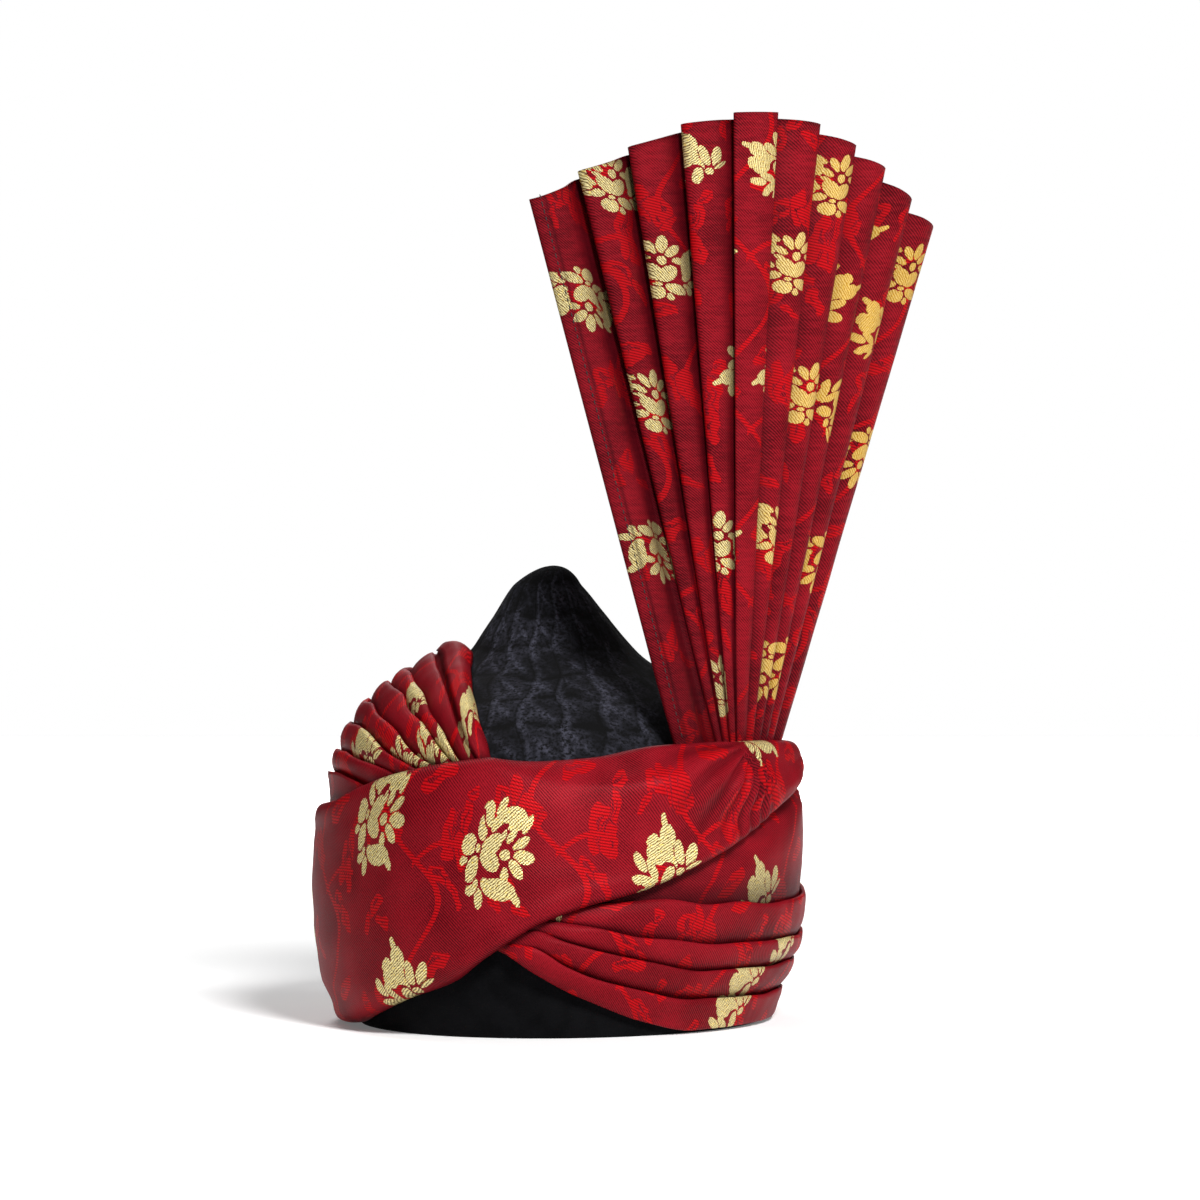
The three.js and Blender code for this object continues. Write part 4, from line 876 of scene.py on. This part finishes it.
def fan(material):
    """Ten knife pleats of starched cloth, and the line that the stitches of its hem follow."""
    tucked, low = np.linspace(-1, -0.1, 7), np.linspace(0, 0.1, 12)[:-1]
    shares = np.concatenate([tucked, low, np.linspace(0.1, 1, 90 // QUICK)])
    lines = [fan_line(column, shares) for column in fan_columns()]
    buckle = waves(41, 8, 40, 160)
    columns = []  # points, place along the cloth, pleat, painted shade

    def pleat(p, t):
        """Points up pleat p at a share t of its width, left to right."""
        left, middle, right = lines[3 * p: 3 * p + 3]
        flat = left * (2 * (t - 0.5) * (t - 1)) + middle * (-4 * t * (t - 1)) + right * (2 * t * (t - 0.5))
        across = right - left
        wide = np.linalg.norm(across, axis=1, keepdims=True)
        out = np.cross(across / wide, [0, 0, 1.0])
        # It swells just past its crest and dips before it goes under the next.
        if p == FAN_MIDDLE:
            shape = FAN_MIDDLE_SWELL * math.sin(math.pi * t)
        else:
            from_crest = t if p < FAN_MIDDLE else 1 - t
            dip = ease((from_crest - 0.45) / 0.35) * (1 - ease((from_crest - 0.85) / 0.15))
            shape = FAN_SWELL * math.sin(math.pi * from_crest ** 0.66) - FAN_DIP * dip
        buckled = 0.5 * buckle(shares * 300, p * 77.0 + t * 20) * ease(shares * 3) * math.sin(math.pi * t)
        return flat + out * (shape * wide[:, 0] + buckled)[:, None]

    def along_cloth(p, points):
        """How far along the cloth points of pleat p lie, by their distance from its crest."""
        crest_left = p <= FAN_MIDDLE
        d = np.linalg.norm(points - lines[3 * p if crest_left else 3 * p + 2], axis=1)
        return p * FAN_CLOTH + (d if crest_left else FAN_FACE - d)

    def shade_at(p, t):
        """Painted shade: darker down in the fold, away from the pleat's crest, and over the whole of the
        first pleats.
        """
        whole = 0.1 + (FAN_SHADE[p] if p < len(FAN_SHADE) else 0)
        if p == FAN_MIDDLE:
            return whole + 0.2 * abs(2 * t - 1) ** 3
        from_crest = t if p < FAN_MIDDLE else 1 - t
        return whole + 0.8 * ease((from_crest - 0.32) / 0.66)

    def put(points, along, p, dark):
        columns.append((points, along, p, dark))

    def bend(t, start, corner, end):
        return (1 - t) ** 2 * start + 2 * t * (1 - t) * corner + t * t * end

    across_pleat = np.linspace(0.07, 0.93, 12 if QUICK == 1 else 8)
    # The columns carry painted shade; the free edge's first line is half shaded.
    put(lines[0], along_cloth(0, lines[0]), 0, 0.5)
    for p in range(PLEATS):
        for t in (np.linspace(0.025, 0.93, 36) if p == 0 else across_pleat):
            points = pleat(p, t)
            put(points, along_cloth(p, points), p, shade_at(p, t))
        right = lines[3 * p + 2]
        if p == PLEATS - 1:
            put(right, along_cloth(p, right), p, 0.3)
            break
        # The fold: round this pleat's right corner, back under it, and round the next one's left corner.
        left = lines[3 * p + 3]
        last, first = pleat(p, across_pleat[-1]), pleat(p + 1, across_pleat[0])
        inside, outside = mix(right, left, 0.24), mix(right, left, 0.76)
        here, there = along_cloth(p, last), along_cloth(p + 1, first)
        for t in (0.25, 0.5, 0.75):
            put(bend(t, last, right, inside), here + 1.5 * t, p, shade_at(p, 1))
        # Painted shade deep in the fold, where the cloth goes under.
        put(inside, here + 2, p, 0.8)
        put(mix(right, left, 0.5), here + 5, p, 0.9)
        put(outside, here + 8, p, 0.8)
        for t in (0.25, 0.5, 0.75):
            put(bend(t, outside, left, first), there - 1.5 * (1 - t), p + 1, shade_at(p + 1, 0))
    P, U = (np.stack([column[k] for column in columns], 1) for k in (0, 1))
    of_pleat, darks = (np.array([column[k] for column in columns]) for k in (2, 3))
    n, m = U.shape
    # Cloth of even thickness about the middle surface, doubled at the hem on the left.
    N = np.cross(np.gradient(P, axis=1), np.gradient(P, axis=0))
    N /= np.linalg.norm(N, axis=2, keepdims=True)
    half = 0.5 * CLOTH * (1 - 0.3 * (1 - ease(shares * 5)))[:, None, None]
    hem = (HEM_THICK * (1 - ease((U - HEM_WIDE) / 0.8)))[:, :, None] * ease(shares * 8)[:, None, None]
    front, back = P + N * (half + hem), P - N * half
    pts = np.concatenate([front, back[:, ::-1]], 1)
    u_left = np.concatenate([U, U[:, ::-1] + 7], 1)
    v_left = np.concatenate([P[:, :, 2], P[:, ::-1, 2]], 1)
    u_right = np.roll(u_left, -1, 1)
    jump = np.abs(u_right - u_left).max(0) > 20
    u_right[:, jump] = u_left[:, jump] + 1.5
    u, v = corner_values(u_left, u_right), corner_values(v_left, np.roll(v_left, -1, 1))
    panels = np.tile(np.concatenate([of_pleat, 20 + of_pleat[::-1]]), n - 1)
    flower = flower_uv("fan", panels, u, v, 90, (46, 60), 55, size=FAN_FLOWERS)
    # Painted shade: darker at the root, where the fan goes under the front wrap, and a dark line along the
    # hem's edge.
    dark = darks + 0.3 * (1 - ease(shares * 5))[:, None]
    dark = dark + 0.5 * np.exp(-((U - HEM_LINE) / 0.8) ** 2)
    dark = np.clip(np.concatenate([dark, dark[:, ::-1]], 1), 0, 1)
    caps = end_caps(n, m)
    u = np.concatenate([u, np.tile([1.0, 2, 2, 1], (len(caps), 1))])
    v = np.concatenate([v, np.tile([1.0, 1, 2, 2], (len(caps), 1))])
    flower = np.concatenate([flower, np.full((len(caps), 4, 2), FAR)])
    # The end faces take a little painted shade.
    shade = np.concatenate([corner_values(dark, np.roll(dark, -1, 1)), np.full((len(caps), 4), 0.3)])
    faces = np.concatenate([grid_faces(n, 2 * m, False, True), caps])
    obj = make("brocade_fan", pts, faces, material, cloth_layers(u, v, flower, shade))
    near_edge = np.nonzero(of_pleat == 0)[0][:30]
    seam = []
    for i in np.nonzero(shares > 0.015)[0]:
        face = front[i, near_edge] + N[i, near_edge] * 0.12
        seam.append([np.interp(HEM_SEAM, U[i, near_edge], face[:, k]) for k in range(3)])
    return obj, np.array(seam)


# Stitches of the hem
STITCH_SIZES = (("Spacing", 0.0031), ("Length", 0.0021), ("Thickness", 0.00052))  # metres
STITCH_LONG = (0.82, 1.15)  # shortest and longest stitch, as shares of Length


def stitch_nodes(material):
    """Geometry Nodes: short threads laid along a curve, each a little longer or shorter than the next."""
    tree = bpy.data.node_groups.new("running_stitch", "GeometryNodeTree")
    face = tree.interface
    face.new_socket("Geometry", in_out="INPUT", socket_type="NodeSocketGeometry")
    for label, value in STITCH_SIZES:
        face.new_socket(label, in_out="INPUT", socket_type="NodeSocketFloat").default_value = value
    face.new_socket("Seed", in_out="INPUT", socket_type="NodeSocketInt").default_value = 7
    face.new_socket("Geometry", in_out="OUTPUT", socket_type="NodeSocketGeometry")

    def put(kind, ins=(), output=0, **props):
        return put_node(tree, kind, ins, **props).outputs[output]

    given = put_node(tree, "NodeGroupInput").outputs
    thick = given["Thickness"]
    spaced = {"Curve": given["Geometry"], "Length": given["Spacing"]}
    places = put("GeometryNodeResampleCurve", spaced, mode="LENGTH")
    tangent = put("GeometryNodeInputTangent")
    lie = put("FunctionNodeAlignRotationToVector", {"Vector": tangent}, axis="Z")
    ball = put("GeometryNodeMeshUVSphere", {"Segments": 8, "Rings": 6, "Radius": 0.5}, "Mesh")
    stray_ins = {2: STITCH_LONG[0], 3: STITCH_LONG[1], "Seed": given["Seed"]}
    stray = put("FunctionNodeRandomValue", stray_ins, 1, data_type="FLOAT")
    length = put("ShaderNodeMath", [given["Length"], stray], operation="MULTIPLY")
    size = put("ShaderNodeCombineXYZ", [thick, thick, length])
    laid_ins = {"Points": places, "Instance": ball, "Rotation": lie, "Scale": size}
    laid = put("GeometryNodeRealizeInstances", [put("GeometryNodeInstanceOnPoints", laid_ins)])
    painted = put("GeometryNodeSetMaterial", {0: laid, "Material": material})
    put_node(tree, "NodeGroupOutput", [painted])
    return tree


def stitch_row(name, points, material):
    """A running stitch through points in millimetres, as a mesh."""
    line = bpy.data.curves.new(name + "_path", "CURVE")
    line.dimensions = "3D"
    spline = line.splines.new("POLY")
    spline.points.add(len(points) - 1)
    for point, place in zip(spline.points, to_world(points)):
        point.co = (*place, 1)
    path = bpy.data.objects.new(name + "_path", line)
    bpy.context.scene.collection.objects.link(path)
    path.modifiers.new("stitches", "NODES").node_group = stitch_nodes(material)
    bpy.context.view_layer.update()
    mesh = bpy.data.meshes.new_from_object(path.evaluated_get(bpy.context.evaluated_depsgraph_get()))
    path.modifiers.clear()
    bpy.data.objects.remove(path)
    obj = bpy.data.objects.new(name, mesh)
    bpy.context.scene.collection.objects.link(obj)
    mesh.shade_smooth()
    return obj


# The pieces, each over its node
band = brow_band(black_cotton("black_cotton"))
cap = crown_cap(embossed_velvet("black_embossed_velvet"))
pleated = pleated_wrap(brocade("brocade_of_the_wrap"))
front = front_wrap(brocade("brocade_of_the_front_wrap"))
plume, hem_line = fan(brocade("brocade_of_the_fan", gold_deep=0.6, streaks=0.24))
stitches = stitch_row("hem_stitches", hem_line, Shader("dark_thread").finish(srgb(20, 2, 5), 0.6))

for piece, node, slot in ((band, "cap_band", "band_cloth"), (cap, "cap_crown", "crown_cloth"),
                          (pleated, "pleated_wrap", "pleated_brocade"),
                          (front, "front_wrap", "front_brocade"), (plume, "fan", "fan_brocade")):
    face_outward(piece)
    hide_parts(node)
    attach(piece, "root")
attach(stitches, "root")

# Floor, light and camera, in metres
WHITE = (1, 1, 1, 1)
FLOOR_SIDE, FLOOR_TONE, FLOOR_GLOW = 12, 0.9, 0.14
BACKDROP_AT, BACKDROP_SIDES = (-1.24, 4.32, 1.3), (2.0, 3.4, 1)
CAMERA_TURN, CAMERA_AWAY = math.radians(16), 2.2
AIM_ASIDE, AIM_HEIGHT = 0.0159, 0.18
PHOTO_SIDE, FOCAL_LENGTH = 1200, 5116  # in the photograph's pixels
SENSOR = 36  # millimetres
BEHIND = (-0.83, 2.9, 0)  # the floor behind the turban, as the camera sees it
LAMPS = (  # name, place, size, watts, and what it points at
    ("key", (1.25, -1.8, 1.7), 0.6, 102, (0, 0, 0.2)), ("side", (2.4, 0.2, 1.0), 0.6, 12, (0, 0, 0.2)),
    ("left", (-1.1, 0.7, 2.7), 0.8, 26, (0, 0, 0.2)), ("rear", (-0.9, 2.3, 1.9), 0.9, 8, (0, 0, 0.2)),
    ("floor_lamp", (-0.83, 2.9, 2.6), 1.8, 70, BEHIND))


def plane(name, material, **place):
    bpy.ops.mesh.primitive_plane_add(**place)
    obj = bpy.context.object
    obj.name = name
    obj.data.materials.append(material)
    return obj


def looking(obj, at, target):
    """Puts a lamp or camera at a place and turns it to its target."""
    obj.location = at
    obj.rotation_euler = (Vector(target) - Vector(at)).to_track_quat("-Z", "Y").to_euler()
    bpy.context.scene.collection.objects.link(obj)
    return obj


def lamp(name, at, size, watts, target):
    data = bpy.data.lights.new(name, "AREA")
    data.shape, data.size, data.energy = "DISK", size, watts
    return looking(bpy.data.objects.new(name, data), at, target)


tone = (FLOOR_TONE, FLOOR_TONE, FLOOR_TONE, 1)
pale = Shader("pale_floor").finish(tone, 0.9, Emission_Color=WHITE, Emission_Strength=FLOOR_GLOW)
floor = plane("floor", pale, size=FLOOR_SIDE, location=(0, 0, 0))
world = bpy.data.worlds.new("studio")
bpy.context.scene.world = world
world.use_nodes = True
world.node_tree.nodes["Background"].inputs[0].default_value = WHITE
world.node_tree.nodes["Background"].inputs[1].default_value = 0.05
glow = Shader("white_backdrop")
light_of_it = glow.put("ShaderNodeEmission", {"Color": WHITE, "Strength": 1.0}).outputs[0]
glow.put("ShaderNodeOutputMaterial", [light_of_it])
backdrop = plane("backdrop", glow.mat, size=1, location=BACKDROP_AT, rotation=(math.pi / 2, 0, CAMERA_TURN))
backdrop.scale = BACKDROP_SIDES
lights = [lamp(*row) for row in LAMPS]
lights[-1].data.spread = math.radians(85)

right = Vector((math.cos(CAMERA_TURN), math.sin(CAMERA_TURN), 0))
toward = Vector((math.sin(CAMERA_TURN), -math.cos(CAMERA_TURN), 0))
aim = Vector((AXIS.x, AXIS.y, AIM_HEIGHT)) + right * AIM_ASIDE
lens = bpy.data.cameras.new("camera")
lens.sensor_width, lens.lens = SENSOR, SENSOR * FOCAL_LENGTH / PHOTO_SIDE
bpy.context.scene.camera = looking(bpy.data.objects.new("camera", lens), aim + toward * CAMERA_AWAY, aim)
bpy.context.scene.view_settings.view_transform = "Standard"
